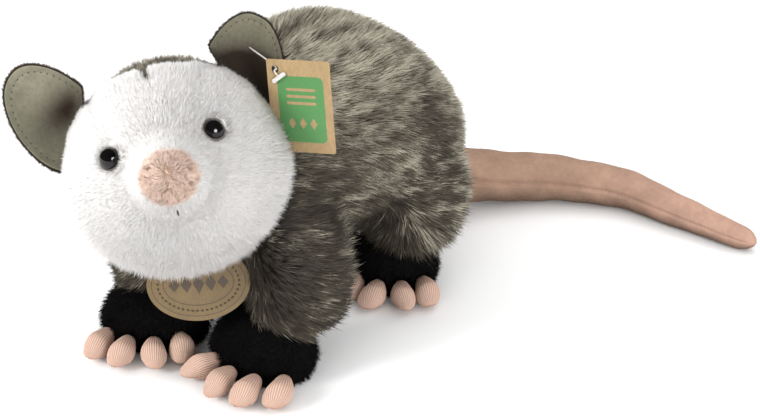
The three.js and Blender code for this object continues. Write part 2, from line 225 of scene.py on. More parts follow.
def settle(name, mesh, material, slot=None, *nodes, fill=None):
    """A finished piece, in the place of its CAD nodes. The fill given for a stuffed one is not used."""
    piece = finish_object(name, mesh, material)
    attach(piece, BODY)
    if nodes:
        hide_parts(*nodes)


@contextlib.contextmanager
def opened(mesh):
    """A mesh open for changes, which are written back at the end"""
    work = bmesh.new()
    work.from_mesh(mesh)
    yield work
    work.to_mesh(mesh)
    work.free()


def triangle_mesh(name, points, triangles):
    mesh = bpy.data.meshes.new(name)
    mesh.vertices.add(len(points))
    mesh.vertices.foreach_set("co", points.astype(np.float32).ravel())
    mesh.loops.add(triangles.size)
    mesh.loops.foreach_set("vertex_index", triangles.astype(np.int32).ravel())
    mesh.polygons.add(len(triangles))
    mesh.polygons.foreach_set("loop_start", np.arange(0, triangles.size, 3, dtype=np.int32))
    mesh.update(calc_edges=True)
    mesh.shade_smooth()
    return mesh


def put(mesh, name, values):
    """A named value at each vertex"""
    values = np.asarray(values, np.float32)
    kind, key = ("FLOAT_VECTOR", "vector") if values.ndim == 2 else ("FLOAT", "value")
    mesh.attributes.new(name, kind, "POINT").data.foreach_set(key, values.ravel())


def read(data, key, width, kind=np.float32):
    """The numbers of a mesh's vertices, edges or triangles, with so many to a row"""
    values = np.empty(len(data) * width, kind)
    data.foreach_get(key, values)
    return values.reshape(-1, width)


def points_of(mesh):
    return read(mesh.vertices, "co", 3).astype(float)


def normals_of(mesh):
    return read(mesh.vertex_normals, "vector", 3).astype(float)


def tree_of(points):
    """For finding the nearest of the points"""
    tree = kdtree.KDTree(len(points))
    for i, point in enumerate(points):
        tree.insert(point, i)
    tree.balance()
    return tree


def set_points(mesh, points):
    mesh.vertices.foreach_set("co", points.astype(np.float32).ravel())
    mesh.update()


def sink(mesh, depth):
    """Moves a surface inwards, by one depth or by each vertex's own"""
    set_points(mesh, points_of(mesh) - normals_of(mesh) * depth)


def outward(mesh):
    """Turns every face of a closed mesh outwards"""
    with opened(mesh) as work:
        bmesh.ops.recalc_face_normals(work, faces=work.faces)
    return mesh


def closed_skin(name, first, rings, last):
    """A closed skin over rings of points, with one point at each end"""
    rings = np.asarray(rings)
    count, sides = rings.shape[:2]
    points = np.vstack(([first], rings.reshape(-1, 3), [last]))
    side = np.arange(sides)
    after = (side + 1) % sides
    faces = [np.stack((np.zeros(sides, int), 1 + after, 1 + side), 1)]
    for ring in range(count - 1):
        a, b = 1 + ring * sides, 1 + (ring + 1) * sides
        faces.append(np.stack((a + side, a + after, b + side), 1))
        faces.append(np.stack((b + side, a + after, b + after), 1))
    end = 1 + (count - 1) * sides
    faces.append(np.stack((np.full(sides, len(points) - 1), end + side, end + after), 1))
    return outward(triangle_mesh(name, points, np.vstack(faces)))


def result_of(data, kind=None, settings=None, inputs=None):
    """The plain mesh that a curve, or a mesh with one modifier, comes to"""
    obj = bpy.data.objects.new("draft", data)
    bpy.context.scene.collection.objects.link(obj)
    if kind:
        modifier = obj.modifiers.new(kind, kind)
        for key, value in settings.items():
            setattr(modifier, key, value)
        for key, value in (inputs or {}).items():
            modifier[key] = value
    depsgraph = bpy.context.evaluated_depsgraph_get()
    mesh = bpy.data.meshes.new_from_object(obj.evaluated_get(depsgraph))
    bpy.data.objects.remove(obj)
    return mesh


def remeshed(mesh, voxel):
    result = result_of(mesh, "REMESH", {"mode": "VOXEL", "voxel_size": voxel})
    result.shade_smooth()
    return result


def relax(mesh, rounds):
    """Smooths a mesh and keeps its volume: each round draws the points together, then spreads them"""
    edges = read(mesh.edges, "vertices", 2, np.int32)
    points = points_of(mesh)
    count = np.bincount(edges.ravel(), minlength=len(points))
    for _ in range(rounds):
        for pull in (0.5, -0.53):
            total = np.zeros_like(points)
            np.add.at(total, edges[:, 0], points[edges[:, 1]])
            np.add.at(total, edges[:, 1], points[edges[:, 0]])
            points += pull * (total / column(count) - points)
    set_points(mesh, points)


def form_of(name, nodes, voxel, rounds):
    """One smooth closed form over CAD nodes that touch"""
    mesh = bpy.data.meshes.new(name)
    with opened(mesh) as work:
        for node in nodes:
            work.from_mesh(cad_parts[node].data)
        bmesh.ops.remove_doubles(work, verts=work.verts, dist=0.01 * MM)
    sink(mesh, -GAP)
    mesh = remeshed(mesh, voxel)
    relax(mesh, rounds)
    sink(mesh, GAP)
    return mesh


def on_floor(points, clearance):
    points[:, 2] = np.maximum(points[:, 2], clearance)
    return points


# Coats


def scatter(mesh, spacing, rng):
    """Roots spread evenly over a skin, with the skin's smooth normal at each"""
    mesh.calc_loop_triangles()
    triangles = read(mesh.loop_triangles, "vertices", 3, np.int32)
    points, normals = points_of(mesh)[triangles], normals_of(mesh)[triangles]
    sides = points[:, 1:] - points[:, :1]
    area = np.linalg.norm(np.cross(sides[:, 0], sides[:, 1]), axis=1) / 2
    total = np.cumsum(area)
    count = int(total[-1] / spacing**2)
    along = (np.arange(count) + rng.random(count)) / count * total[-1]
    pick = np.minimum(np.searchsorted(total, along), len(area) - 1)
    shares = rng.random((count, 2))
    over = shares.sum(axis=1) > 1
    shares[over] = 1 - shares[over]
    weights = np.column_stack((1 - shares.sum(axis=1), shares))[:, :, None]
    return (points[pick] * weights).sum(axis=1), unit((normals[pick] * weights).sum(axis=1))


class Coat:
    """Tufts of pile on a skin: where each has its root, how it lies, and how it looks"""

    def __init__(self, mesh, spacing, seed):
        self.rng = np.random.default_rng(seed)
        self.spacing = spacing
        roots, normals = scatter(mesh, spacing, self.rng)
        self.values = {"root": roots, "normal": normals}

    def __getattr__(self, name):
        return self.values[name]

    def set(self, **values):
        count = len(self.values["root"])
        for name, value in values.items():
            self.values[name] = np.broadcast_to(value, (count, *np.shape(value)[1:])).copy()

    def keep(self, mask):
        self.values = {name: value[mask] for name, value in self.values.items()}

    def sway(self, spread):
        """A random change of way for each tuft"""
        return self.rng.normal(0, spread, (len(self.root), 3))

    def jitter(self, spread):
        """A random number about 0 for each tuft"""
        return self.rng.normal(0, spread, len(self.root))

    def vary(self, spread, low=0.5, high=1.5):
        """A random share about 1 for each tuft"""
        return self.rng.normal(1, spread, len(self.root)).clip(low, high)

    def mottle(self, share, size, seed, spread):
        """Tones in soft patches of that size, in which single tufts differ by the spread"""
        patches = waves(self.root, size, seed)
        return np.clip(0.5 + share * patches + self.jitter(spread), 0, 1)

    def spines(self, segments):
        """Points along each tuft, from under the skin to the tip"""
        lift = [np.radians(column(self.lift_root)), np.radians(column(self.lift_tip))]
        points = [self.root - self.normal * ROOT_DEPTH]
        for k in range(segments):
            angle = mix(lift[0], lift[1], k / max(segments - 1, 1))
            way = self.lie * np.cos(angle) + self.normal * np.sin(angle)
            points.append(points[-1] + way * column(self.length) / segments)
        return np.stack(points, axis=1)

    def clump(self, spines, spacing, pull):
        """Tips draw together into locks"""
        count = len(self.root)
        share = min((self.spacing / spacing) ** 2, 0.5)
        leads = self.rng.choice(count, max(int(count * share), 1), replace=False)
        middles = spines.mean(axis=1)
        tree = tree_of(middles[leads])
        nearest = np.array([tree.find(p)[1] for p in middles])
        strength = pull * mix(0.5, 1.3, self.rng.random(len(leads)))[nearest]
        target = spines[leads][nearest]
        for k in range(1, spines.shape[1]):
            share = column(strength * (k / (spines.shape[1] - 1)) ** 1.4)
            spines[:, k] = mix(spines[:, k], target[:, k], share)
        return self.rng.random(len(leads))[nearest]


def tuft_faces(segments):
    """Triangles of one closed tuft with three sides: its base, its walls and its point"""
    faces = [(0, 1, 2)]
    for k in range(segments - 1):
        low, high = 3 * k, 3 * (k + 1)
        for a, b in ((0, 2), (2, 1), (1, 0)):
            faces += [(low + a, low + b, high + b), (low + a, high + b, high + a)]
    last = 3 * (segments - 1)
    tip = 3 * segments
    return np.array(faces + [(last + a, last + b, tip) for a, b in ((0, 2), (2, 1), (1, 0))])


def tuft_points(coat, spines, softness):
    """Vertices of every tuft, and the way that the pile faces at each: outwards from the tuft,
    and by the softness as the skin does"""
    segments = spines.shape[1] - 1
    ways = unit(np.diff(spines, axis=1))
    points, facing = [], []
    for k in range(segments):
        side = unit(np.cross(coat.normal, ways[:, k]))
        crown = np.cross(ways[:, k], side)
        half = column(coat.width) / 2 * (1 - 0.35 * k / segments)
        for across, rise, tilt in ((0.8, -0.2, -0.6), (-0.8, -0.2, -0.6), (0, 0.6, 1.0)):
            points.append(spines[:, k] + half * (across * 1.25 * side + rise * crown))
            facing.append(unit(softness * coat.normal + across * side + tilt * crown))
    points.append(spines[:, -1])
    facing.append(unit(softness * coat.normal + 0.6 * ways[:, -1]))
    return np.stack(points, axis=1), np.stack(facing, axis=1)


def around_centre(points, centre, pole):
    """An unwrap of a rounded form by its angles round a pole, from 0 to 1 each way"""
    pole = unit(np.asarray(pole, float))
    first = unit(np.cross(pole, (0.31, 0.87, 0.38)))
    second = np.cross(pole, first)
    away = unit(points - centre)
    turn = np.arctan2(away @ second, away @ first) / (2 * math.pi) + 0.5
    down = np.arccos(np.clip(away @ pole, -1, 1)) / math.pi
    return np.column_stack((turn, down)) * (1 - 3 * PATCH) + PATCH


def coat_pieces(name, finish, coat, spines, unwrap, softness=0.7):
    """Makes the tufts, in pieces of no more than a set number of triangles"""
    segments = spines.shape[1] - 1
    faces = tuft_faces(segments)
    order = np.argsort(unwrap[:, 0], kind="stable")
    parts = math.ceil(len(order) * len(faces) / COAT_TRIANGLES)
    points, facing = tuft_points(coat, spines, softness)
    on_floor(points.reshape(-1, 3), FLOOR_GAP)
    stride = points.shape[1]
    along = np.repeat(np.arange(segments + 1), 3)[:stride] / segments
    corner = np.tile((0.0, 1.0, 0.5), segments + 1)[:stride]
    patch = np.column_stack((corner, along)) * PATCH
    for k, pick in enumerate(np.array_split(order, parts)):
        count = len(pick)
        triangles = (faces[None] + stride * np.arange(count)[:, None, None]).reshape(-1, 3)
        title = f"{name}_{k + 1}" if parts > 1 else name
        mesh = triangle_mesh(title, points[pick].reshape(-1, 3), triangles)
        put(mesh, "along", np.tile(along, count))
        put(mesh, "facing", facing[pick].reshape(-1, 3))
        for value in ("tone", "stain"):
            put(mesh, value, np.repeat(coat.values[value][pick], stride))
        layer = mesh.uv_layers.new(name="OFBake")
        places = (unwrap[pick][:, None] + patch[None]).reshape(-1, 2)
        layer.data.foreach_set("uv", places[triangles.ravel()].astype(np.float32).ravel())
        settle(title, mesh, material_of(finish), finish)


# Shaders


def colour(rgb):
    return (*rgb, 1.0)


class Shader:
    """A material with one Principled shader, built node by node"""

    def __init__(self, name, **settings):
        self.material = bpy.data.materials.new(name)
        self.material.use_nodes = True
        self.tree = self.material.node_tree
        self.surface = self.tree.nodes["Principled BSDF"]
        for socket, value in settings.items():
            self.surface.inputs[socket.replace("_", " ")].default_value = value

    def feed(self, socket, value):
        """Links a socket to another, or sets it to a plain value"""
        if isinstance(value, bpy.types.NodeSocket):
            self.tree.links.new(value, socket)
        else:
            socket.default_value = value

    def node(self, kind, inputs=None, **settings):
        node = self.tree.nodes.new(kind)
        for key, value in settings.items():
            setattr(node, key, value)
        for key, value in (inputs or {}).items():
            self.feed(node.inputs[key], value)
        return node

    def group(self, tree, **inputs):
        named = {key.replace("_", " "): value for key, value in inputs.items()}
        return self.node("ShaderNodeGroup", named, node_tree=tree)

    def attribute(self, name, output="Fac"):
        return self.node("ShaderNodeAttribute", attribute_name=name).outputs[output]

    def place(self):
        return self.node("ShaderNodeTexCoord").outputs["Object"]

    def noise(self, size, detail=3.0, roughness=0.55, vector=None):
        place = vector or self.place()
        inputs = {"Vector": place, "Scale": 1 / size, "Detail": detail, "Roughness": roughness}
        return self.node("ShaderNodeTexNoise", inputs).outputs["Fac"]

    def ramp(self, value, low, high, to_low=0.0, to_high=1.0):
        inputs = {0: value, 1: low, 2: high, 3: to_low, 4: to_high}
        return self.node("ShaderNodeMapRange", inputs).outputs["Result"]

    def shade(self, noise, darkest, palest):
        """Noise as a shade to multiply a colour by"""
        return self.ramp(noise, 0.3, 0.7, darkest, palest)

    def maths(self, operation, a, b=0.0):
        return self.node("ShaderNodeMath", {0: a, 1: b}, operation=operation).outputs[0]

    def times(self, a, b):
        return self.maths("MULTIPLY", a, b)

    def blend(self, share, a, b, kind="MIX"):
        node = self.node("ShaderNodeMix", data_type="RGBA", blend_type=kind)
        for key, value in {"Factor": share, "A": a, "B": b}.items():
            self.feed(next(s for s in node.inputs if s.name == key and s.enabled), value)
        return next(s for s in node.outputs if s.enabled)

    def shaded(self, rgb, shade):
        """A colour, from a socket or in plain numbers, multiplied by a shade"""
        base = rgb if isinstance(rgb, bpy.types.NodeSocket) else colour(rgb)
        return self.blend(1.0, base, shade, "MULTIPLY")

    def nap(self, fine, coarse, darkest, palest):
        """Height and shade of a fabric's nap"""
        nap = self.group(FABRIC_NAP, Fine=fine * MM, Coarse=coarse * MM).outputs
        return nap["Height"], self.shade(nap["Shade"], darkest, palest)

    def set(self, **links):
        for socket, value in links.items():
            self.tree.links.new(value, self.surface.inputs[socket.replace("_", " ")])
        return self.material

    def finish(self, base, height, depth):
        """Sets the base colour, and a relief that deep"""
        inputs = {"Height": height, "Distance": depth * MM, "Strength": 1.0}
        relief = self.node("ShaderNodeBump", inputs).outputs["Normal"]
        return self.set(Base_Color=base, Normal=relief)


class GroupTree(Shader):
    """A shader group with named sockets"""

    def __init__(self, name, inputs, outputs):
        self.tree = bpy.data.node_groups.new(name, "ShaderNodeTree")
        for way, sockets in (("INPUT", inputs), ("OUTPUT", outputs)):
            for title, kind in sockets.items():
                self.tree.interface.new_socket(title, in_out=way, socket_type=f"NodeSocket{kind}")
        self.start = self.tree.nodes.new("NodeGroupInput").outputs
        self.end = self.tree.nodes.new("NodeGroupOutput").inputs

    def give(self, **outputs):
        for title, value in outputs.items():
            self.tree.links.new(value, self.end[title])
        return self.tree


def pile_colour_group():
    """Colour of pile from its root to its tip. Light tufts turn pale early, dark ones late."""
    inputs = dict.fromkeys(("Root", "Middle", "Tip", "Stain Colour"), "Color")
    inputs.update(dict.fromkeys(("Along", "Tone", "Stain", "Variety"), "Float"))
    group = GroupTree("Pile Colour", inputs, {"Color": "Color"})
    get = group.start
    shift = group.times(group.maths("SUBTRACT", get["Tone"], 0.5), get["Variety"])
    reach = group.maths("ADD", get["Along"], shift)
    lower = group.blend(group.ramp(reach, 0.0, 0.5), get["Root"], get["Middle"])
    upper = group.blend(group.ramp(reach, 0.42, 0.95), lower, get["Tip"])
    bright = group.maths("ADD", 1.0, group.times(shift, 0.45))
    toned = group.node("ShaderNodeVectorMath", {0: upper, 1: bright}, operation="MULTIPLY")
    # The stain mixes in the stain colour: real dark marks, and on the grey plush also painted shade
    stained = group.blend(get["Stain"], toned.outputs["Vector"], get["Stain Colour"])
    return group.give(Color=stained)


def nap_group():
    """Fine nap of a short fabric, as height and as a shade"""
    sizes = {"Fine": "Float", "Coarse": "Float"}
    group = GroupTree("Fabric Nap", sizes, {"Height": "Float", "Shade": "Float"})
    place = group.place()
    heights = []
    for name in sizes:
        scale = group.maths("DIVIDE", 1.0, group.start[name])
        inputs = {"Vector": place, "Scale": scale, "Detail": 3.0}
        heights.append(group.node("ShaderNodeTexNoise", inputs).outputs["Fac"])
    mixed = group.maths("ADD", heights[0], heights[1])
    return group.give(Height=mixed, Shade=group.times(mixed, 0.5))


PILE_COLOUR = pile_colour_group()
FABRIC_NAP = nap_group()


def pile_material(name, shades, variety, gloss=0.2, soft=0.0, stain=(0.03, 0.022, 0.016)):
    """Finish of the tufts of one plush. Light soaks through soft pile."""
    settings = {"Roughness": 0.75, "Specular_IOR_Level": gloss}
    if soft:
        settings["Subsurface_Weight"] = soft
        settings["Subsurface_Scale"] = 3 * MM
        settings["Subsurface_Radius"] = (1.0, 0.95, 0.9)
    shader = Shader(name, **settings)
    root, middle, tip = (colour(shade) for shade in shades)
    tinted = shader.group(
        PILE_COLOUR,
        Root=root,
        Middle=middle,
        Tip=tip,
        Stain_Colour=colour(stain),
        Along=shader.attribute("along"),
        Tone=shader.attribute("tone"),
        Stain=shader.attribute("stain"),
        Variety=variety,
    )
    facing = shader.attribute("facing", "Vector")
    return shader.set(Base_Color=tinted.outputs["Color"], Normal=facing)


def backing_material(name, first, second=None):
    """Knitted backing under the pile, in two colours: where two plushes meet, and where painted shade
    darkens it
    """
    shader = Shader(name, Roughness=0.95, Specular_IOR_Level=0.1)
    height, shade = shader.nap(0.5, 2.5, 0.75, 1.05)
    side = 0.0 if second is None else shader.attribute("fabric")
    base = shader.blend(side, colour(first), colour(first if second is None else second))
    return shader.finish(shader.shaded(base, shade), height, 0.3)


# What a user would change


def length(label, value, text):
    return bpy.props.FloatProperty(
        name=label, description=text, default=value, subtype="DISTANCE", unit="LENGTH"
    )


def angle(label, value, text):
    return bpy.props.FloatProperty(
        name=label, description=text, default=math.radians(value), subtype="ANGLE", unit="ROTATION"
    )


def tint(label, value, text):
    return bpy.props.FloatVectorProperty(
        name=label, description=text, default=value, subtype="COLOR", size=3, min=0, max=1
    )


class OpossumPile(bpy.types.PropertyGroup):
    """Lengths of the plush"""

    grey_length: length("Grey pile", 13 * MM, "Length of the grey plush's pile")
    grey_depth: length("Grey depth", 6.5 * MM, "How deep the skin lies under the grey tips")
    grey_spacing: length("Grey spacing", 0.84 * MM, "Distance between roots of the grey pile")
    guard_spacing: length("Guard spacing", 1.78 * MM, "Distance between the long bent tufts")
    crown_depth: length("Crown depth", 3.6 * MM, "How deep the skin lies under the crown's tips")
    face_length: length("Face pile", 4.4 * MM, "Length of the white plush's pile")
    face_depth: length("Face depth", 2.2 * MM, "How deep the skin lies under the white tips")
    face_spacing: length("Face spacing", 0.5 * MM, "Distance between roots of the white pile")
    paw_length: length("Paw pile", 4.4 * MM, "Length of the black plush's pile")
    paw_depth: length("Paw depth", 2.2 * MM, "How deep the skin lies under the black tips")
    paw_spacing: length("Paw spacing", 0.92 * MM, "Distance between roots of the black pile")
    nose_length: length("Nose pile", 4.2 * MM, "Length of the pink plush's pile")
    nose_spacing: length("Nose spacing", 0.41 * MM, "Distance between roots of the pink pile")
    ear_length: length("Ear pile", 1.8 * MM, "Length of the pile on the ears' backs")
    ear_spacing: length("Ear spacing", 0.75 * MM, "Distance between roots on the ears' backs")
    tail_length: length("Tail nap", 1.6 * MM, "Length of the tail's short nap")
    tail_spacing: length("Tail spacing", 1.45 * MM, "Distance between roots of the tail's nap")


class OpossumColours(bpy.types.PropertyGroup):
    """Colours of the fabrics and the cards"""

    grey_root: tint("Grey root", (0.052, 0.040, 0.029), "Undercoat of the grey plush")
    grey_middle: tint("Grey middle", (0.138, 0.121, 0.087), "Middle of the grey pile")
    grey_tip: tint("Grey tip", (0.440, 0.408, 0.320), "Cream tips of the grey pile")
    white: tint("White", (0.950, 0.924, 0.900), "Pile of the face")
    pink: tint("Pink", (0.835, 0.572, 0.440), "Pile of the nose")
    pink_root: tint("Pink root", (0.700, 0.410, 0.270), "Roots of the nose's pile")
    black: tint("Black", (0.004, 0.0036, 0.0036), "Pile of the paws")
    felt: tint("Felt", (0.200, 0.190, 0.138), "Suede felt inside the ears")
    ear_back: tint("Ear back", (0.040, 0.028, 0.020), "Plush behind the ears")
    toe: tint("Toe", (0.528, 0.358, 0.282), "Ribbed fabric of the toes")
    tail: tint("Tail", (0.300, 0.190, 0.134), "Short nap at the tail's root")
    tail_tip: tint("Tail tip", (0.450, 0.280, 0.212), "Short nap at the tail's tip")
    card: tint("Card", (0.300, 0.208, 0.106), "Kraft card of the tags")
    green: tint("Green", (0.068, 0.200, 0.062), "Printed panel of the hang tag")
    ink: tint("Ink", (0.055, 0.035, 0.018), "Dark print of the oval tag")


class OpossumView(bpy.types.PropertyGroup):
    """Camera, seen from the toy's front left and above"""

    azimuth: angle("Azimuth", 38, "Turn of the camera round the toy")
    elevation: angle("Elevation", 27, "Height of the camera above the horizon")
    field: angle("Field of view", 22, "Width of the picture")
    distance: length("Distance", 1.1, "From the camera to the point that it looks at")


def toy():
    return bpy.context.scene.opossum_pile


def colours():
    return bpy.context.scene.opossum_colours


class OpossumPanel(bpy.types.Panel):
    """Sizes, colours and pieces of the toy"""

    bl_idname = "OPOSSUM_PT_panel"
    bl_label = "Plush Opossum"
    bl_space_type = "VIEW_3D"
    bl_region_type = "UI"
    bl_category = "Plush Opossum"

    def draw(self, context):
        for group in ("opossum_pile", "opossum_colours", "opossum_view"):
            settings = getattr(context.scene, group)
            box = self.layout.box()
            for name in settings.__annotations__:
                box.prop(settings, name)
        for operator in OPERATORS:
            self.layout.operator(operator.bl_idname)


# Head

HEAD_NODES = ("muzzle", "head_face", "head_back")
HEAD_VOXEL = 2 * MM
# Which way the left eye looks
EYE_LOOK = unit(np.array((0.34, 1.0, 0.12)))
# The skin closes over the hollows of the CAD's eyes and nose, out to these distances
SOCKET_RADIUS = 8.6 * MM
SEAT_AT = NOSE_AT - np.array((0, 8, 0)) * MM
SEAT_RADIUS = 18 * MM
# The soft ring round the nose that the snout swells over: its radius and its width
SNOUT_RING = 27 * MM
SNOUT_RING_WIDE = 5 * MM
# Folds sewn into the face: from and to (across, up), how deep, and how wide
FOLDS = (
    ((-34, 42), (-26, 20), 1.8, 3.4),
    ((28, 42), (19, 16), 1.6, 4.0),
    ((-3, 56), (-0.4, 44), 2.4, 1.8),
    ((-1.2, -21), (-0.5, -30), 2.0, 2.2),
    ((-0.5, -30), (10, -33), 1.5, 3.0),
    ((-0.5, -30), (-12, -29), 1.2, 3.0),
)
MOUTH_AT = np.array((-1.2, 63.3, -23.8)) * MM
# Half of the mouth's stitch: how thick and how long it is
MOUTH_THICK = 0.5 * MM
MOUTH_LONG = 1.5 * MM
# Widths of the grey plush's tufts: fine ones, long bent ones, and those of the crown
GREY_WIDTH = 0.66 * MM
GUARD_WIDTH = 0.42 * MM
CROWN_WIDTH = 0.42 * MM
CROWN_SPACING = 0.64 * MM


def socket_distance(local):
    """Distance from the nearer eye's middle, and how far on the side away from the nose"""
    away = np.column_stack((np.abs(local[:, 0] - EYE_ASIDE), local[:, 1:])) - EYE_AT
    return norm(away), 0.85 * away[:, 0] + 0.52 * away[:, 2]


def fold_depth(local):
    depth = np.zeros(len(local))
    for start, end, deep, wide in FOLDS:
        a, b = np.array(start) * MM, np.array(end) * MM
        place = local[:, (0, 2)]
        share = np.clip((place - a) @ (b - a) / ((b - a) @ (b - a)), 0, 1)
        away = norm(place - a - column(share) * (b - a))
        depth = np.maximum(depth, deep * MM * bell(away, wide * MM) * (local[:, 1] > 0))
    return depth


def close_socket(local, middle, look, radius):
    """Carries the rounded surface round a socket on across it"""
    away = local - middle
    high = away @ look
    flat = away - column(high) * look
    spread = norm(flat)
    first = unit(np.cross(look, (0, 0, 1)))
    second = np.cross(first, look)
    terms = np.column_stack((np.ones(len(local)), flat @ first, flat @ second, spread**2))
    shallow = np.abs(high) < 2 * radius
    rim = shallow & (spread > radius) & (spread < 1.5 * radius)
    fit = np.linalg.lstsq(terms[rim], high[rim], rcond=None)[0]
    share = (1 - step(0.97 * radius, 1.15 * radius, spread)) * shallow
    return local + column(share * (terms @ fit - high)) * look


def head_mesh(pile):
    mesh = form_of("head_skin", HEAD_NODES, HEAD_VOXEL, 14)
    local = to_head(points_of(mesh))
    for side in (1, -1):
        local = close_socket(local, eye_at(side), EYE_LOOK * (side, 1, 1), SOCKET_RADIUS)
    local = close_socket(local, SEAT_AT, np.array((0.0, 1.0, 0.0)), SEAT_RADIUS)
    set_points(mesh, from_head(local))
    mesh = remeshed(mesh, HEAD_VOXEL)
    relax(mesh, 6)
    local = to_head(points_of(mesh))
    ahead = beyond_seam(local)
    depth = mix(pile.crown_depth, pile.face_depth, step(-6 * MM, 2 * MM, ahead))
    depth += 0.8 * MM * bell(ahead, 3 * MM)
    depth += fold_depth(local)
    ring = norm(local[:, (0, 2)] - NOSE_AT[[0, 2]]) - SNOUT_RING
    depth += 1.2 * MM * bell(ring, SNOUT_RING_WIDE) * step(20 * MM, 40 * MM, local[:, 1])
    sink(mesh, column(depth))
    relax(mesh, 2)
    local = to_head(points_of(mesh))
    near, _ = socket_distance(local)
    # Behind the crown the backing is the grey fabric; right round the eyes it is darkened as painted
    # shade in the sockets
    crown, socket = step(0.6 * MM, -0.6 * MM, beyond_seam(local)), step(7.8 * MM, 6.8 * MM, near)
    put(mesh, "fabric", np.maximum(crown, 0.9 * socket))
    return mesh


def face_coat(mesh, pile):
    coat = Coat(mesh, pile.face_spacing, 11)
    local = to_head(coat.root)
    ahead = beyond_seam(local)
    near, outside = socket_distance(local)
    nose = local - NOSE_AT
    radial = np.column_stack((nose[:, 0], np.zeros(len(nose)), nose[:, 2]))
    lie_local = unit(unit(radial) - np.array((0, 0.55, 0)))
    from_eye = np.where(column(local[:, 0] > EYE_ASIDE), eye_at(1), eye_at(-1))
    from_eye = unit(local - from_eye)
    # The pile runs round the eyes, not over them
    by_eye = step(11 * MM, 7 * MM, near)
    towards = np.clip(-np.sum(lie_local * from_eye, axis=1), 0, 1)
    lie_local = lie_local + column(1.35 * by_eye * towards) * from_eye
    lie = laid(unit(lie_local) @ HEAD_MATRIX + coat.sway(0.13), coat.normal)
    cheek = step(30 * MM, 4 * MM, local[:, 1]) * step(20 * MM, -20 * MM, local[:, 2])
    by_nose = bell(norm(nose), 20 * MM)
    mouth = bell(norm(local - MOUTH_AT), 3.5 * MM)
    # Round each eye a dark ring, wider away from the nose, is partly dark fibres and partly painted
    # shadow; a few longer tufts stand up, most on the cheeks
    outer = step(-3 * MM, 3 * MM, outside)
    halo = 1 - step(6.0 * MM, mix(6.8, 7.4, outer) * MM, near + coat.jitter(0.3 * MM))
    fuzz = coat.rng.random(len(local)) < mix(0.14, 0.3, cheek)
    lift = mix(mix(22, 30, cheek), 30, by_nose) + mix(16, 24, cheek) * fuzz
    notch = seam_notch(local) * step(14 * MM, 10 * MM, ahead + coat.jitter(0.6 * MM))
    stretch = 1 + 1.1 * cheek - 0.3 * by_nose - 0.4 * mouth
    coat.set(
        lie=lie,
        length=pile.face_length * stretch * coat.vary(0.1, 0.7, 1.4),
        width=0.5 * MM,
        lift_root=mix(lift, 20, by_eye) + coat.jitter(3),
        lift_tip=mix(16, 12, by_eye),
        tone=coat.mottle(0.3, 9 * MM, 3, 0.12),
        stain=np.maximum(0.5 * halo, np.clip(1.2 * notch, 0, 1)),
        ahead=ahead,
        clear=near,
        nose=norm(nose / np.array((12.0, 10.0, 11.0)) / MM),
    )
    coat.keep((coat.ahead > 0) & (coat.clear > 1.02 * EYE_RADIUS) & (coat.nose > 1))
    return coat


def grey_tones(coat, seed):
    """Mottling of the grey plush: patches, streaks and single tufts"""
    patches = waves(coat.root, 22 * MM, seed)
    streaks = waves(coat.root * np.array((1, 0.4, 1)), 4.5 * MM, seed + 1)
    return 0.5 + 0.2 * patches + 0.6 * streaks + coat.jitter(0.16)


def dress_grey(name, coat, pile, unwrap, lie, stretch, lifts, tone, bent, width=GREY_WIDTH):
    """Gives the grey plush its pile: fine straight tufts, or longer ones that bend over them"""
    coat.set(
        lie=laid(lie + coat.sway(0.15), coat.normal),
        length=pile.grey_length * stretch * coat.vary(0.16),
        width=(GUARD_WIDTH if bent else width) * coat.rng.uniform(0.75, 1.2, len(coat.root)),
        lift_root=lifts[0] + coat.jitter(7),
        lift_tip=lifts[1] + coat.jitter(5),
        # Where the tone falls below nothing the tufts darken: the darkest mottling, and on the body
        # painted shade low down and in hollows
        stain=np.clip(-0.9 * tone, 0, 0.75),
    )
    spines = coat.spines(2 if bent else 1)
    lock = coat.clump(spines, 3.2 * MM, 0.34)
    coat.set(tone=np.clip(tone + 0.35 * (lock - 0.5), 0, 1))
    coat_pieces(name, "grey_plush", coat, spines, unwrap, softness=1.0)


def crown_coat(mesh, pile):
    coat = Coat(mesh, CROWN_SPACING, 12)
    coat.set(ahead=beyond_seam(to_head(coat.root)))
    coat.keep(coat.ahead < 0)
    local = to_head(coat.root)
    rim = bell(coat.ahead, 6 * MM)
    back = np.array((0.0, -1.0, 0.0)) + 0.3 * unit(local * np.array((1, 0, 1)))
    unwrap = around_centre(coat.root, HEAD_ORIGIN, -HEAD_FORWARD)
    lifts = (mix(28, 24, rim), mix(20, 16, rim))
    tone = 0.5 + 0.6 * (grey_tones(coat, 5) - 0.5) - 0.15 * rim
    lie, stretch = back @ HEAD_MATRIX, mix(0.6, 0.46, rim)
    dress_grey("crown_coat", coat, pile, unwrap, lie, stretch, lifts, tone, False, CROWN_WIDTH)


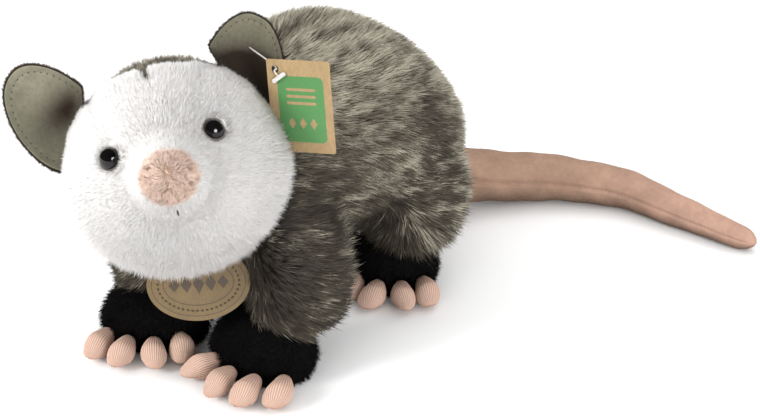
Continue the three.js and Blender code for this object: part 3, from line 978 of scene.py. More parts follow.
class OPOSSUM_OT_head(bpy.types.Operator):
    """Head: one stuffed skin, the white pile of the face and the grey pile of the crown"""

    bl_idname = "opossum.head"
    bl_label = "Head"

    def execute(self, context):
        pile, paint = toy(), colours()
        mesh = head_mesh(pile)
        backing = backing_material("Head backing", np.array(paint.white) * 0.9, paint.grey_root)
        settle("head_skin", mesh, backing, "white_plush", *HEAD_NODES, fill=0.85)
        coat = face_coat(mesh, pile)
        unwrap = around_centre(coat.root, HEAD_ORIGIN, HEAD_FORWARD)
        spines = coat.spines(1)
        coat.clump(spines, 2.6 * MM, 0.14)
        coat_pieces("face_coat", "white_plush", coat, spines, unwrap, softness=1.3)
        crown_coat(mesh, pile)
        self.mouth()
        return {"FINISHED"}

    def mouth(self):
        """The mouth is one short stitch of dark thread"""
        ring = circle(turns_of(12), (MOUTH_THICK, 0, 0), (0, MOUTH_THICK, 0))
        long = np.array((0, 0, MOUTH_LONG))
        rings = []
        for bend in math.pi * np.arange(1, 8) / 8:
            rings.append(from_head(MOUTH_AT + ring * math.sin(bend) - long * math.cos(bend)))
        ends = [from_head(MOUTH_AT + s * long) for s in (-1, 1)]
        stitch = closed_skin("mouth", ends[0], rings, ends[1])
        settle("mouth_stitch", stitch, material_of("thread"))


# Eyes

EYE_RADIUS = 5.8 * MM
# How deep the middle of the left eye lies under the pile's tips, and that of the right one
EYE_SUNK = {1: 2.0 * MM, -1: 2.8 * MM}
# The flange: distances out and forward, as shares of the radius
EYE_FLANGE = ((0.1, -0.5), (0.97, -0.5), (1.06, -0.45), (1.06, -0.38), (0.97, -0.3))


class OPOSSUM_OT_eyes(bpy.types.Operator):
    """Eyes: moulded glossy domes with a thin flange"""

    bl_idname = "opossum.eyes"
    bl_label = "Eyes"

    def execute(self, context):
        turns = turns_of(48)
        dome = [(math.cos(t), math.sin(t)) for t in np.radians(np.linspace(-10, 86, 22))]
        for side, name in ((1, "left"), (-1, "right")):
            look = EYE_LOOK * (side, 1, 1)
            middle = eye_at(side) - EYE_SUNK[side] * look
            across = unit(np.cross(look, (0, 0, 1)))
            rise = np.cross(across, look)
            ring = circle(turns, across, rise)
            rings = [middle + EYE_RADIUS * (r * ring + h * look) for r, h in (*EYE_FLANGE, *dome)]
            ends = [from_head(middle + h * EYE_RADIUS * look) for h in (-0.5, 1)]
            mesh = closed_skin(f"eye_{name}", ends[0], from_head(rings), ends[1])
            settle(f"{name}_eye", mesh, material_of("eye_plastic"), "eye_plastic", f"eye_{name}")
        return {"FINISHED"}


# Nose

# Half its width, length and height over the pile's tips, and how deep the skin lies under them
NOSE_HALF = np.array((15.8, 12.5, 14.6)) * MM
NOSE_DEPTH = 3.4 * MM


class OPOSSUM_OT_nose(bpy.types.Operator):
    """Nose: a stuffed ball of pink plush"""

    bl_idname = "opossum.nose"
    bl_label = "Nose"

    def execute(self, context):
        pile = toy()
        mesh = self.ball()
        backing = backing_material("Nose backing", np.array(colours().pink) * 0.85)
        settle("nose_skin", mesh, backing, "pink_plush", "nose", fill=0.9)
        coat = Coat(mesh, pile.nose_spacing, 21)
        local = to_head(coat.root) - NOSE_AT
        out = np.column_stack((local[:, 0], -np.abs(local[:, 1]) * 0.3, local[:, 2] - 2 * MM))
        coat.set(
            lie=laid(0.2 * unit(out) @ HEAD_MATRIX + self.swirl(coat.root), coat.normal),
            length=pile.nose_length * coat.vary(0.16, 0.5, 1.4),
            width=0.38 * MM,
            lift_root=52 + coat.jitter(6),
            lift_tip=34.0,
            tone=coat.mottle(0.35, 4 * MM, 8, 0.15),
            stain=0.0,
            front=local[:, 1],
        )
        coat.keep(coat.front > -8 * MM)
        unwrap = around_centre(coat.root, from_head(NOSE_AT), HEAD_FORWARD)
        spines = coat.spines(2)
        coat.clump(spines, 1.8 * MM, 0.06)
        coat_pieces("nose_coat", "pink_plush", coat, spines, unwrap, softness=1.6)
        return {"FINISHED"}

    def ball(self):
        half = NOSE_HALF - NOSE_DEPTH
        ring = circle(turns_of(48), (1, 0, 0), (0, 0, 1))
        rings = []
        for tilt in np.linspace(0, math.pi, 26)[1:-1]:
            place = ring * math.sin(tilt) + np.array((0, math.cos(tilt), 0))
            rings.append(from_head(NOSE_AT + half * place))
        ends = [from_head(NOSE_AT + half * np.array((0, s, 0))) for s in (1, -1)]
        return closed_skin("nose_skin", ends[0], rings, ends[1])

    def swirl(self, points):
        """The pile is ruffled in small patches"""
        return 0.45 * np.stack([waves(points, 2.8 * MM, seed) for seed in (81, 82, 83)], axis=1)


# Ears

# Each lobe's place and size from the head's middle: its clock and lean in degrees, its distances in
# mm, and where and how strongly it is airbrushed dark and painted with the shade of its hollow
EARS = {
    "left": {
        "side": 1, "clock": 50.5, "out": 65.7, "lean": 9, "half_along": 21.6, "half_out": 23.3,
        "taper": 0.39, "roundness": 0.79, "slant": -0.24, "airbrush_and_shade": ((0.0, -14.0), (21.0, 19.0), 2.0),
    },
    "right": {
        "side": -1, "clock": 53.5, "out": 67.1, "lean": 13.4, "half_along": 22.1, "half_out": 31.6,
        "taper": 0.18, "roundness": 0.94, "slant": 0.2, "airbrush_and_shade": ((6.0, -3.0), (17.0, 12.0), 0.95),
    },
}
EAR_BACK_FROM_MIDDLE = 14 * MM
EAR_CUP = 12 * MM
EAR_RIM_SHARE = 0.35
# Where the edge nearer to the crown is pinched at the root, how much, and how far forward
EAR_PINCH = (-0.45, -0.1, 0.4, 7 * MM)
# The felt's and the plush's shares of the ear's whole width, and their depths from back to front
FELT_SIZE = 0.94
FELT_DEPTHS = (0.1 * MM, 1.4 * MM)
PLUSH_SIZE = 0.985
PLUSH_DEPTHS = (-3.0 * MM, -0.3 * MM)
# The groove that the stitches lie in
STITCH_LINE = 0.87
STITCH_PITCH = 3.7 * MM
GROOVE_DEPTH = 0.4 * MM
GROOVE_WIDE = 0.022


def ear_points(ear, across, up, depth):
    """Points of the cupped ear. The place across and up the lobe runs from -1 to 1."""
    full, none, narrow, curl = EAR_PINCH
    side, half = ear["side"], ear["half_along"] * MM
    pinched = np.where(across * side < 0, 1 - step(full, none, up), 0)
    cupped = EAR_CUP * (across**2 + EAR_RIM_SHARE * np.hypot(across, up) ** 4)
    forward = cupped + curl * pinched * across**2
    along = half * (1 - ear["taper"] * up) * (1 - narrow * pinched) * across
    along += ear["slant"] * half * up
    out, away = ear["half_out"] * MM * up, ear["out"] * MM
    clock = math.radians(ear["clock"])
    lean = side * (clock - math.radians(ear["lean"]))
    left = along * math.cos(lean) + out * math.sin(lean) + side * away * math.sin(clock)
    high = out * math.cos(lean) - along * math.sin(lean) + away * math.cos(clock)
    return from_head(np.stack((left, depth + forward - EAR_BACK_FROM_MIDDLE, high), axis=-1))


def ear_point(ear, across, up, depth=0.0):
    return ear_points(ear, *(np.full(1, value) for value in (across, up, depth)))[0]


def ear_ring(ear, share, turns):
    """Places across and up the lobe, on a ring that is a share of its outline"""
    square = ear["roundness"]
    return [share * np.sign(way) * np.abs(way) ** square for way in (np.cos(turns), np.sin(turns))]


def ear_ripple(turns):
    """The fabric is not quite even"""
    return 0.5 * MM * np.sin(3 * turns + 0.8) + 0.3 * MM * np.sin(7 * turns)


def ear_layer(name, ear, depths, size, groove=0.0):
    """One layer of the ear between two depths, with a round rim"""
    turns = turns_of(144)
    back, front = depths
    rows = [(s, back) for s in np.linspace(0.04, 0.97, 26)]
    for swing in np.radians(np.linspace(-60, 60, 5)):
        depth = (back + front) / 2 + (front - back) / 2 * math.sin(swing)
        rows.append((0.97 + 0.03 * math.cos(swing), depth))
    for s in np.linspace(0.97, 0.04, 48):
        rows.append((s, front - groove * bell(s - STITCH_LINE, GROOVE_WIDE)))
    rings = []
    for share, depth in rows:
        across, up = ear_ring(ear, size * share, turns)
        rings.append(ear_points(ear, across, up, depth + share * ear_ripple(turns)))
    ends = [ear_point(ear, 0, 0, depth) for depth in depths]
    return closed_skin(name, ends[0], rings, ends[1])


def felt_material(paint):
    """Suede felt, airbrushed dark towards the ear's root, with painted shade of the cup's hollow there
    """
    shader = Shader("Ear felt", Roughness=0.95, Specular_IOR_Level=0.15)
    height, grain = shader.nap(0.35, 2.2, 0.78, 1.18)
    cloud = shader.noise(7 * MM, 4.0)
    patch = shader.shade(cloud, 0.88, 1.1)
    base = shader.shaded(paint.felt, shader.times(grain, patch))
    wander = shader.times(shader.maths("SUBTRACT", cloud, 0.5), 0.35)
    # Dark airbrushing and painted shade of the cupped hollow, towards the root
    airbrush_and_shade = shader.ramp(shader.maths("ADD", shader.attribute("airbrush_and_shade"), wander), 0.05, 0.95)
    base = shader.blend(airbrush_and_shade, base, colour((0.022, 0.015, 0.010)))
    return shader.finish(base, height, 0.22)


class OPOSSUM_OT_ears(bpy.types.Operator):
    """Ears: suede felt in front with a row of stitches, dark plush behind"""

    bl_idname = "opossum.ears"
    bl_label = "Ears"

    def execute(self, context):
        pile, paint = toy(), colours()
        felt = felt_material(paint)
        backing = backing_material("Ear backing", paint.ear_back)
        for name, ear in EARS.items():
            inner = ear_layer(f"{name}_felt", ear, FELT_DEPTHS, FELT_SIZE, GROOVE_DEPTH)
            put(inner, "airbrush_and_shade", self.airbrush_and_shade(ear, points_of(inner)))
            settle(f"{name}_ear_felt", inner, felt, "ear_felt", f"ear_{name}_inner")
            back = ear_layer(f"{name}_plush", ear, PLUSH_DEPTHS, PLUSH_SIZE)
            settle(f"{name}_ear_backing", back, backing, "ear_plush", f"ear_{name}_back")
            self.coat(name, ear, back, pile)
            self.stitches(name, ear)
        return {"FINISHED"}

    def airbrush_and_shade(self, ear, points):
        """How strongly the felt is airbrushed and painted with shade, from the ear's root outwards"""
        place, size, strength = ear["airbrush_and_shade"]
        middle = ear_point(ear, 0, 0)
        axes = [unit(ear_point(ear, *way) - middle) for way in ((0.1, 0), (0, 0.1))]
        away = (points - middle) @ np.transpose(axes)
        spread = norm((away - np.array(place) * MM) / (np.array(size) * MM))
        return np.clip(strength * np.exp(-(spread**2)), 0, 1)

    def coat(self, name, ear, mesh, pile):
        coat = Coat(mesh, pile.ear_spacing, 31 + ear["side"])
        middle = ear_point(ear, 0, 0)
        coat.set(
            lie=laid(unit(coat.root - middle) + coat.sway(0.2), coat.normal),
            length=pile.ear_length * coat.vary(0.18),
            width=0.55 * MM,
            lift_root=50 + coat.jitter(8),
            lift_tip=30.0,
            tone=coat.rng.random(len(coat.root)),
            stain=0.0,
            behind=coat.normal @ HEAD_FORWARD,
        )
        coat.keep(coat.behind < 0.55)
        unwrap = around_centre(coat.root, middle + 10 * MM * HEAD_FORWARD, -HEAD_FORWARD)
        coat_pieces(f"{name}_ear_coat", "ear_plush", coat, coat.spines(1), unwrap)

    def stitches(self, name, ear):
        turns = np.linspace(math.radians(-50), math.radians(230), 200)
        across, up = ear_ring(ear, FELT_SIZE * STITCH_LINE, turns)
        path = ear_points(ear, across, up, 1.0 * MM + STITCH_LINE * ear_ripple(turns))
        sewn(f"{name}_ear_stitches", path, STITCH_PITCH, 1.0 * MM, 0.75 * MM)


# Rows of stitches, dots and the like along a path


def stitch_tree():
    """Small rounded bits at even steps along a path"""
    tree = bpy.data.node_groups.new("Stitches along a path", "GeometryNodeTree")
    sockets = {"Geometry": "Geometry", "Pitch": "Float", "Length": "Float", "Width": "Float"}
    for title, kind in {**sockets, "Material": "Material"}.items():
        tree.interface.new_socket(title, in_out="INPUT", socket_type=f"NodeSocket{kind}")
    tree.interface.new_socket("Geometry", in_out="OUTPUT", socket_type="NodeSocketGeometry")
    make = tree.nodes.new
    start, end = make("NodeGroupInput"), make("NodeGroupOutput")
    curve, resample = make("GeometryNodeMeshToCurve"), make("GeometryNodeResampleCurve")
    resample.mode = "LENGTH"
    bead = make("GeometryNodeMeshIcoSphere")
    bead.inputs["Radius"].default_value = 0.5
    bead.inputs["Subdivisions"].default_value = 2
    size, tangent = make("ShaderNodeCombineXYZ"), make("GeometryNodeInputTangent")
    lie = make("FunctionNodeAlignRotationToVector")
    lie.axis = "X"
    place, realize = make("GeometryNodeInstanceOnPoints"), make("GeometryNodeRealizeInstances")
    smooth, paint = make("GeometryNodeSetShadeSmooth"), make("GeometryNodeSetMaterial")
    for source, output, target, socket in (
        (start, "Geometry", curve, "Mesh"),
        (curve, "Curve", resample, "Curve"),
        (start, "Pitch", resample, "Length"),
        (start, "Length", size, "X"),
        (start, "Width", size, "Y"),
        (start, "Width", size, "Z"),
        (tangent, "Tangent", lie, "Vector"),
        (resample, "Curve", place, "Points"),
        (bead, "Mesh", place, "Instance"),
        (lie, "Rotation", place, "Rotation"),
        (size, "Vector", place, "Scale"),
        (place, "Instances", realize, "Geometry"),
        (realize, "Geometry", smooth, "Geometry"),
        (smooth, "Geometry", paint, "Geometry"),
        (start, "Material", paint, "Material"),
        (paint, "Geometry", end, "Geometry"),
    ):
        tree.links.new(source.outputs[output], target.inputs[socket])
    return tree


STITCHES = stitch_tree()


def sewn(name, paths, pitch, long, wide, finish="thread", closed=False):
    """Stitches along one path, or along several of the same number of points"""
    paths = np.asarray(paths)
    count = paths.shape[-2]
    edges = []
    for first in range(0, paths.size // 3, count):
        edges += [(first + i, first + i + 1) for i in range(count - 1)]
        if closed:
            edges.append((first + count - 1, first))
    mesh = bpy.data.meshes.new(name)
    mesh.from_pydata(paths.reshape(-1, 3).tolist(), edges, [])
    material = material_of(finish)
    values = {"Pitch": pitch, "Length": long, "Width": wide, "Material": material}
    inputs = {}
    for item in STITCHES.interface.items_tree:
        if item.in_out == "INPUT" and item.name in values:
            inputs[item.identifier] = values[item.name]
    settle(name, result_of(mesh, "NODES", {"node_group": STITCHES}, inputs), material)


# Body

# Where the pile whorls on the haunch, from the trunk's middle, and how deep and wide its dimple is
WHORL_AT = np.array((52.7, 2.9, 64.1)) * MM
WHORL_DEPTH = 3 * MM
WHORL_WIDE = 7 * MM
PAW_NODES = tuple(f"{limb}_paw" for limb in LIMBS)
GREY_NODES = ("neck", "trunk", *(f"{limb}_leg" for limb in LIMBS))
BODY_VOXEL = 3 * MM
# The skin ends inside the paws, and its pile just above that
BODY_END = 18 * MM
BODY_PILE_END = 20 * MM
# Room that the pile leaves to the head's and the paws' skins
COAT_ROOM = 1.5 * MM


def body_lie(points, normals):
    """The way that the body's pile lies: to the tail along the back, and down the flanks"""
    height = points[:, 2] / (CAD_BOX[1].z - 20 * MM)
    own = points - TOY
    ahead = step(-25 * MM, -50 * MM, own[:, 1])
    middle = bell(own[:, 0], 22 * MM) * ahead * step(0.2, 0.7, -normals[:, 1])
    down = 0.05 + mix(0.4, 0.14, ahead) * step(0.95, 0.55, height)
    down += mix(1.1, 0.3, ahead) * step(0.32, 0.18, height)
    # On the chest it hangs, and round the shoulders it wraps back from the front
    lie = TAILWARD - column(down + 1.3 * middle) * UP
    wrap = 0.75 * ahead * (1 - middle) * step(0.5, -0.3, normals[:, 1])
    lie[:, 0] += np.sign(own[:, 0]) * wrap
    lie = lie + column(0.3 * step(0.36, 0.2, height)) * normals
    for side in (1, -1):
        away = own - WHORL_AT * (side, 1, 1)
        near = bell(norm(away), 36 * MM) * step(6 * MM, -10 * MM, away[:, 2])
        lie = mix(unit(lie), unit(away), column(np.clip(1.5 * near, 0, 1)))
    swirl = 0.28 * column(waves(points, 20 * MM, 2)) * np.cross(normals, unit(lie))
    return laid(unit(lie) + swirl, normals)


def open_to_air(points, normals, meshes, room):
    """True where a root lies outside the other skins, and none is right in front of it"""
    trees = []
    for mesh in meshes:
        work = bmesh.new()
        work.from_mesh(mesh)
        work.normal_update()
        smooth = [sum((v.normal for v in face.verts), Vector()) for face in work.faces]
        trees.append((bvhtree.BVHTree.FromBMesh(work), smooth))
        work.free()
    free = np.ones(len(points), bool)
    for i, (point, normal) in enumerate(zip(points, normals)):
        point, normal = Vector(point), Vector(normal)
        for tree, smooth in trees:
            place, _, face, distance = tree.find_nearest(point, 25 * MM)
            if place is None:
                continue
            inside = (point - place).dot(smooth[face]) < 0
            blocked = distance < room and (place - point).dot(normal) > 0.3 * distance
            if inside or blocked:
                free[i] = False
                break
    return free


def cut_below(mesh, height):
    """Takes off what lies below a height, and closes the cuts"""
    with opened(mesh) as work:
        parts = [*work.verts, *work.edges, *work.faces]
        level = (0, 0, height)
        bmesh.ops.bisect_plane(work, geom=parts, plane_co=level, plane_no=UP, clear_inner=True)
        rims = [edge for edge in work.edges if edge.is_boundary]
        bmesh.ops.holes_fill(work, edges=rims, sides=0)
        bmesh.ops.triangulate(work, faces=work.faces)
    mesh.shade_smooth()


class OPOSSUM_OT_body(bpy.types.Operator):
    """Body: one stuffed skin over neck, trunk and legs, in long grey plush"""

    bl_idname = "opossum.body"
    bl_label = "Body"

    def execute(self, context):
        pile, paint = toy(), colours()
        mesh = self.skin(pile)
        backing = backing_material("Grey backing", paint.grey_root)
        settle("body_skin", mesh, backing, "grey_plush", *GREY_NODES, fill=0.8)
        inner = [bpy.data.objects[f"{part}_skin"].data for part in ("head", *PAW_NODES)]
        for name, spacing, seed, bent in (
            ("body_coat", pile.grey_spacing, 41, False),
            ("guard_coat", pile.guard_spacing, 42, True),
        ):
            coat = Coat(mesh, spacing * (1), seed)
            coat.keep(coat.root[:, 2] > BODY_PILE_END)
            coat.keep(open_to_air(coat.root, coat.normal, inner, COAT_ROOM))
            self.dress(name, coat, pile, bent)
        return {"FINISHED"}

    def skin(self, pile):
        mesh = form_of("body_skin", (*GREY_NODES, *PAW_NODES), BODY_VOXEL, 16)
        sink(mesh, pile.grey_depth)
        mesh = remeshed(mesh, BODY_VOXEL)
        relax(mesh, 5)
        cut_below(mesh, BODY_END)
        own = points_of(mesh) - TOY
        dimples = [bell(norm(own - WHORL_AT * (side, 1, 1)), WHORL_WIDE) for side in (1, -1)]
        sink(mesh, column(WHORL_DEPTH * sum(dimples)))
        return mesh

    def dress(self, name, coat, pile, bent):
        points = coat.root
        own = points - TOY
        height = points[:, 2] / CAD_BOX[1].z
        low = step(0.34, 0.2, height)
        lie = body_lie(points, coat.normal)
        # The pile is pale along the back edges of the legs, longer there on the front ones, and
        # longer low on the haunches
        edge = step(0.1, 0.6, coat.normal[:, 1]) * step(18 * MM, 30 * MM, np.abs(own[:, 0]))
        edge *= step(0.75, 0.6, height)
        ahead = step(-40 * MM, -55 * MM, own[:, 1])
        fringe = edge * ahead * step(0.75, 0.5, height)
        hem = (1 - ahead) * step(0.34, 0.22, height) * step(48 * MM, 30 * MM, own[:, 1])
        stretch = mix(1.0, 0.8, ahead * step(0.27, 0.15, height))
        stretch = stretch * (1 + 0.38 * fringe) * (1 + 0.3 * hem)
        lifts = (mix(44, 34, low), mix(20, 12, low))
        if not bent:
            lifts = (mix(30, 24, low) + 12 * fringe, 20)
            stretch = 0.86 * stretch
        unwrap = around_centre(points, TOY + np.array((0, -4, 88)) * MM, TAILWARD)
        # Low down the mottling is stronger: partly the dark undercoat, partly painted shade between the
        # tufts. The tone also takes painted light and shade from shade()
        mottle = (grey_tones(coat, 1) - 0.5) * mix(0.9, 1.9, step(0.62, 0.4, height))
        tone = 0.5 + mottle + self.shade(own, height) + 0.6 * edge
        dress_grey(name, coat, pile, unwrap, lie, stretch, lifts, tone, bent)

    def shade(self, own, height):
        """Painted light and shade in the pile's tone: paler on the back, darker low on the flanks and
        between the legs
        """
        y = own[:, 1]
        shade = 0.14 * step(0.6, 0.9, height) - 0.38 * step(0.8, 0.5, height)
        # Painted shade on the front legs, under the head
        shade -= 0.55 * step(-35 * MM, -60 * MM, y) * step(0.62, 0.45, height)
        # Painted shade in a crease down the flank, ahead of the rump
        shade -= 0.35 * bell(y - 20 * MM, 6 * MM) * step(0.34, 0.42, height) * step(0.7, 0.6, height)
        # Painted shade in the hollow in front of the thighs
        return shade - 0.9 * bell(y + 12 * MM, 22 * MM) * step(0.46, 0.34, height)


# Paws and toes

PAW_VOXEL = 1.6 * MM
# The skin's sole lies this near to the floor
SOLE_GAP = 0.2 * MM


class OPOSSUM_OT_paws(bpy.types.Operator):
    """Paws: stuffed cushions of short black plush"""

    bl_idname = "opossum.paws"
    bl_label = "Paws"

    def execute(self, context):
        pile, paint = toy(), colours()
        backing = backing_material("Paw backing", paint.black)
        for k, node in enumerate(PAW_NODES):
            mesh = form_of(node, [node], PAW_VOXEL, 14)
            sink(mesh, pile.paw_depth)
            points = points_of(mesh)
            points[:, 2] -= (pile.paw_depth - 0.4 * MM) * step(8 * MM, 2 * MM, points[:, 2])
            set_points(mesh, on_floor(points, SOLE_GAP))
            settle(f"{node}_skin", mesh, backing, "black_plush", node, fill=0.75)
            self.coat(node, mesh, pile, 51 + k)
        return {"FINISHED"}

    def coat(self, node, mesh, pile, seed):
        coat = Coat(mesh, pile.paw_spacing, seed)
        middle = centre_of(node)
        away = (coat.root - middle) * np.array((1, 1, 0))
        coat.set(
            lie=laid(unit(away) * 0.8 - UP * 0.7 + coat.sway(0.25), coat.normal),
            length=pile.paw_length * coat.vary(0.16),
            width=0.6 * MM,
            lift_root=44 + coat.jitter(10),
            lift_tip=34.0,
            tone=coat.mottle(0.4, 6 * MM, 9, 0.2),
            stain=0.0,
        )
        coat.keep((coat.normal[:, 2] > -0.75) & (coat.root[:, 2] > 0.8 * MM))
        unwrap = around_centre(coat.root, middle, UP)
        coat_pieces(f"{node}_coat", "black_plush", coat, coat.spines(1), unwrap)


# Where each paw stands from the trunk's middle, which way it points, the spread of its toes, and
# how far their tips reach
PAWS = {
    "front_left": ((38, -94), 7, 25, 49),
    "front_right": ((-39, -108), 33, 25, 46),
    "hind_left": ((30, 25), 33, 24, 45.5),
    "hind_right": ((-33, 29), -18, 24, 46),
}
TOE_LENGTH = 25 * MM
TOE_RADIUS = 7.5 * MM
TOE_DROOP = 7
TOE_TURN_SHARE = 0.6
TOE_RIBS = 32
# How much of its height the tip loses, and how far it drops
TOE_FLAT = 0.48
TOE_DROP = 0.5 * MM
# The seam lies this share of the radius below the middle
TOE_SEAM = 0.25
# Width and distance from the paw, as shares of the radius and the length
TOE_PROFILE = (
    (0.0, 0.0),
    (0.36, 0.01),
    (0.53, 0.1),
    (0.74, 0.28),
    (0.93, 0.48),
    (1.0, 0.62),
    (0.94, 0.77),
    (0.76, 0.89),
    (0.48, 0.965),
    (0.22, 0.99),
    (0.0, 0.985),
)


def toe_axes(limb, number):
    """The tip of one toe, the way to it, its left and its crown"""
    at, turn, spread, reach = PAWS[limb]
    splay = (number - 2.5) * spread
    heading, turned = math.radians(turn + splay), math.radians(turn + splay * TOE_TURN_SHARE)
    droop = math.radians(TOE_DROOP)
    ahead = np.array((math.sin(turned), -math.cos(turned), 0.0)) * math.cos(droop)
    ahead -= math.sin(droop) * UP
    left = unit(np.cross(UP, ahead))
    middle = TOY + np.array((*at, 0.0)) * MM
    tip = middle + reach * MM * np.array((math.sin(heading), -math.cos(heading), 0.0))
    tip[2] = TOE_RADIUS - 0.4 * TOE_LENGTH * math.sin(droop) - 0.2 * MM
    return tip, ahead, left, np.cross(ahead, left)


def run_of(path):
    """A path's length up to each of its points"""
    return np.concatenate(([0], np.cumsum(norm(np.diff(path, axis=0)))))


def at_steps(steps, run, values):
    """Each column of values, read off at the steps along a run"""
    return np.column_stack([np.interp(steps, run, value) for value in np.transpose(values)])


def resampled(path, count):
    """A path with its points at even steps"""
    run = run_of(path)
    return at_steps(np.linspace(0, run[-1], count), run, path)


def toe_profile():
    """Widths and distances along a toe, softened"""
    profile = resampled(np.array(TOE_PROFILE) * (1, TOE_LENGTH / TOE_RADIUS), 30)
    for _ in range(3):
        profile[1:-1] = (profile[:-2] + 2 * profile[1:-1] + profile[2:]) / 4
    return profile[:, 0], profile[:, 1] * TOE_RADIUS / TOE_LENGTH


class OPOSSUM_OT_toes(bpy.types.Operator):
    """Toes: stuffed cones of ribbed pink fabric, sewn at the tip"""

    bl_idname = "opossum.toes"
    bl_label = "Toes"

    def execute(self, context):
        fabric = self.fabric(colours())
        for limb in LIMBS:
            seams = []
            for number in TOES:
                mesh, seam = self.toe(limb, number)
                seams.append(seam)
                node = f"{limb}_toe_{number}"
                settle(f"{node}_fabric", mesh, fabric, "toe_fabric", node, fill=0.85)
            sewn(f"{limb}_toe_stitches", seams, 1.9 * MM, 1.1 * MM, 0.5 * MM, "toe_thread")
        return {"FINISHED"}

    def fabric(self, paint):
        shader = Shader("Ribbed toe fabric", Roughness=0.8, Specular_IOR_Level=0.25)
        height, grain = shader.nap(0.3, 1.4, 0.92, 1.08)
        # Darker in the grooves between the ribs: painted shade
        rib = shader.ramp(shader.attribute("rib"), -0.7, 0.6, 0.6, 1.07)
        base = shader.shaded(paint.toe, shader.times(rib, grain))
        # Painted shade in the seam's groove and at the gathered tip
        base = shader.blend(shader.attribute("seam_shade"), base, colour((0.42, 0.22, 0.15)))
        return shader.finish(base, height, 0.12)

    def toe(self, limb, number):
        """One toe's mesh, and the line of its seam"""
        tip, ahead, left, crown = toe_axes(limb, number)
        rng = np.random.default_rng(600 + 10 * LIMBS.index(limb) + number)
        slant = rng.uniform(-0.5, 0.5)
        bend, narrow = rng.uniform(-2.6, 2.6) * MM, rng.uniform(0.02, 0.3)

        def spine(t):
            return tip - ahead * (1 - t) * TOE_LENGTH + left * bend * step(0.3, 1.0, t)

        def thin(t):
            return 1 - narrow * step(0.4, 1.0, t)

        turns = turns_of(4 * TOE_RIBS)
        wide, far = toe_profile()
        rings, ribs, seam_shade = [], [], []
        for w, t in zip(wide[1:-1], far[1:-1]):
            rib = np.cos(TOE_RIBS * (turns + slant * t))
            fade, flat = step(0.0, 0.35, w), step(0.5, 0.95, t)
            # The fabric is gathered in a seam low across the tip, which is a flat wedge
            seam = bell(np.abs(np.cos(turns) * w + TOE_SEAM), 0.07) * step(0.72, 0.86, t)
            pucker = 0.035 * np.cos(9 * turns + slant * 9) * step(0.74, 0.95, t)
            radius = w * (1 + pucker * fade) + (0.03 * rib - 0.09 * seam) * fade
            radius *= TOE_RADIUS * thin(t)
            high = radius * np.cos(turns) * (1 - TOE_FLAT * flat) - TOE_DROP * flat
            ring = spine(t) - np.outer(0.8 * MM * seam, ahead)
            rings.append(ring + np.outer(radius * np.sin(turns), left) + np.outer(high, crown))
            ribs.append(rib * fade)
            # Painted shade along the seam's groove, and a little at the tip
            seam_shade.append(0.2 * step(0.9, 1.0, t) + 0.5 * seam)
        mesh = closed_skin(f"{limb}_toe_{number}", spine(far[0]), rings, spine(far[-1]))
        set_points(mesh, on_floor(points_of(mesh), FLOOR_GAP))
        put(mesh, "rib", np.concatenate(([0.0], np.ravel(ribs), [0.0])))
        put(mesh, "seam_shade", np.concatenate(([0.0], np.ravel(seam_shade), [0.3])))

        keep = (far > 0.6) & (wide > 0.27)
        sides = [*zip(np.sqrt(wide[keep] ** 2 - TOE_SEAM**2), far[keep])]
        sides += [(-a, t) for a, t in reversed(sides)]
        path = []
        for a, t in sides:
            flat = step(0.5, 0.95, t)
            low = thin(t) * TOE_SEAM * TOE_RADIUS * (1 - TOE_FLAT * flat) + TOE_DROP * flat
            path.append(spine(t) + left * thin(t) * a * TOE_RADIUS - crown * low)
        return mesh, on_floor(resampled(np.array(path), 24), 0.5 * MM)


# Tail

# Points of its middle line, from the trunk's middle on the floor
TAIL_PATH = (
    (0, 78, 46),
    (1, 104, 30),
    (9, 137, 19),
    (44, 173, 14),
    (85, 191, 11.8),
    (132, 189, 9.2),
    (182, 186, 6.6),
)
TAIL_LINE = TOY + np.array(TAIL_PATH, float) * MM
TAIL_ROOT = 19.2 * MM
TAIL_TIP = 7.2 * MM
TAIL_TAPER = 1.45
# The share of its length that the round end takes
TAIL_END = 0.045
TAIL_SIDES = 72
# How deep the skin lies under the nap
TAIL_DEPTH = 0.8 * MM


def along_curve(points, shares):
    """Points and directions along a smooth curve through given points, at shares of its length"""
    points = np.vstack((2 * points[0] - points[1], points, 2 * points[-1] - points[-2]))
    fine = []
    for k in range(1, len(points) - 2):
        a, b, c, d = points[k - 1 : k + 3]
        for t in np.linspace(0, 1, 40, endpoint=False):
            curve = (2 * a - 5 * b + 4 * c - d) * t**2 + (3 * b - a - 3 * c + d) * t**3
            fine.append(0.5 * (2 * b + (c - a) * t + curve))
    fine = np.array([*fine, points[-2]])
    run = run_of(fine) / run_of(fine)[-1]
    ways = at_steps(shares, run, np.gradient(fine, axis=0))
    return at_steps(shares, run, fine), unit(ways)


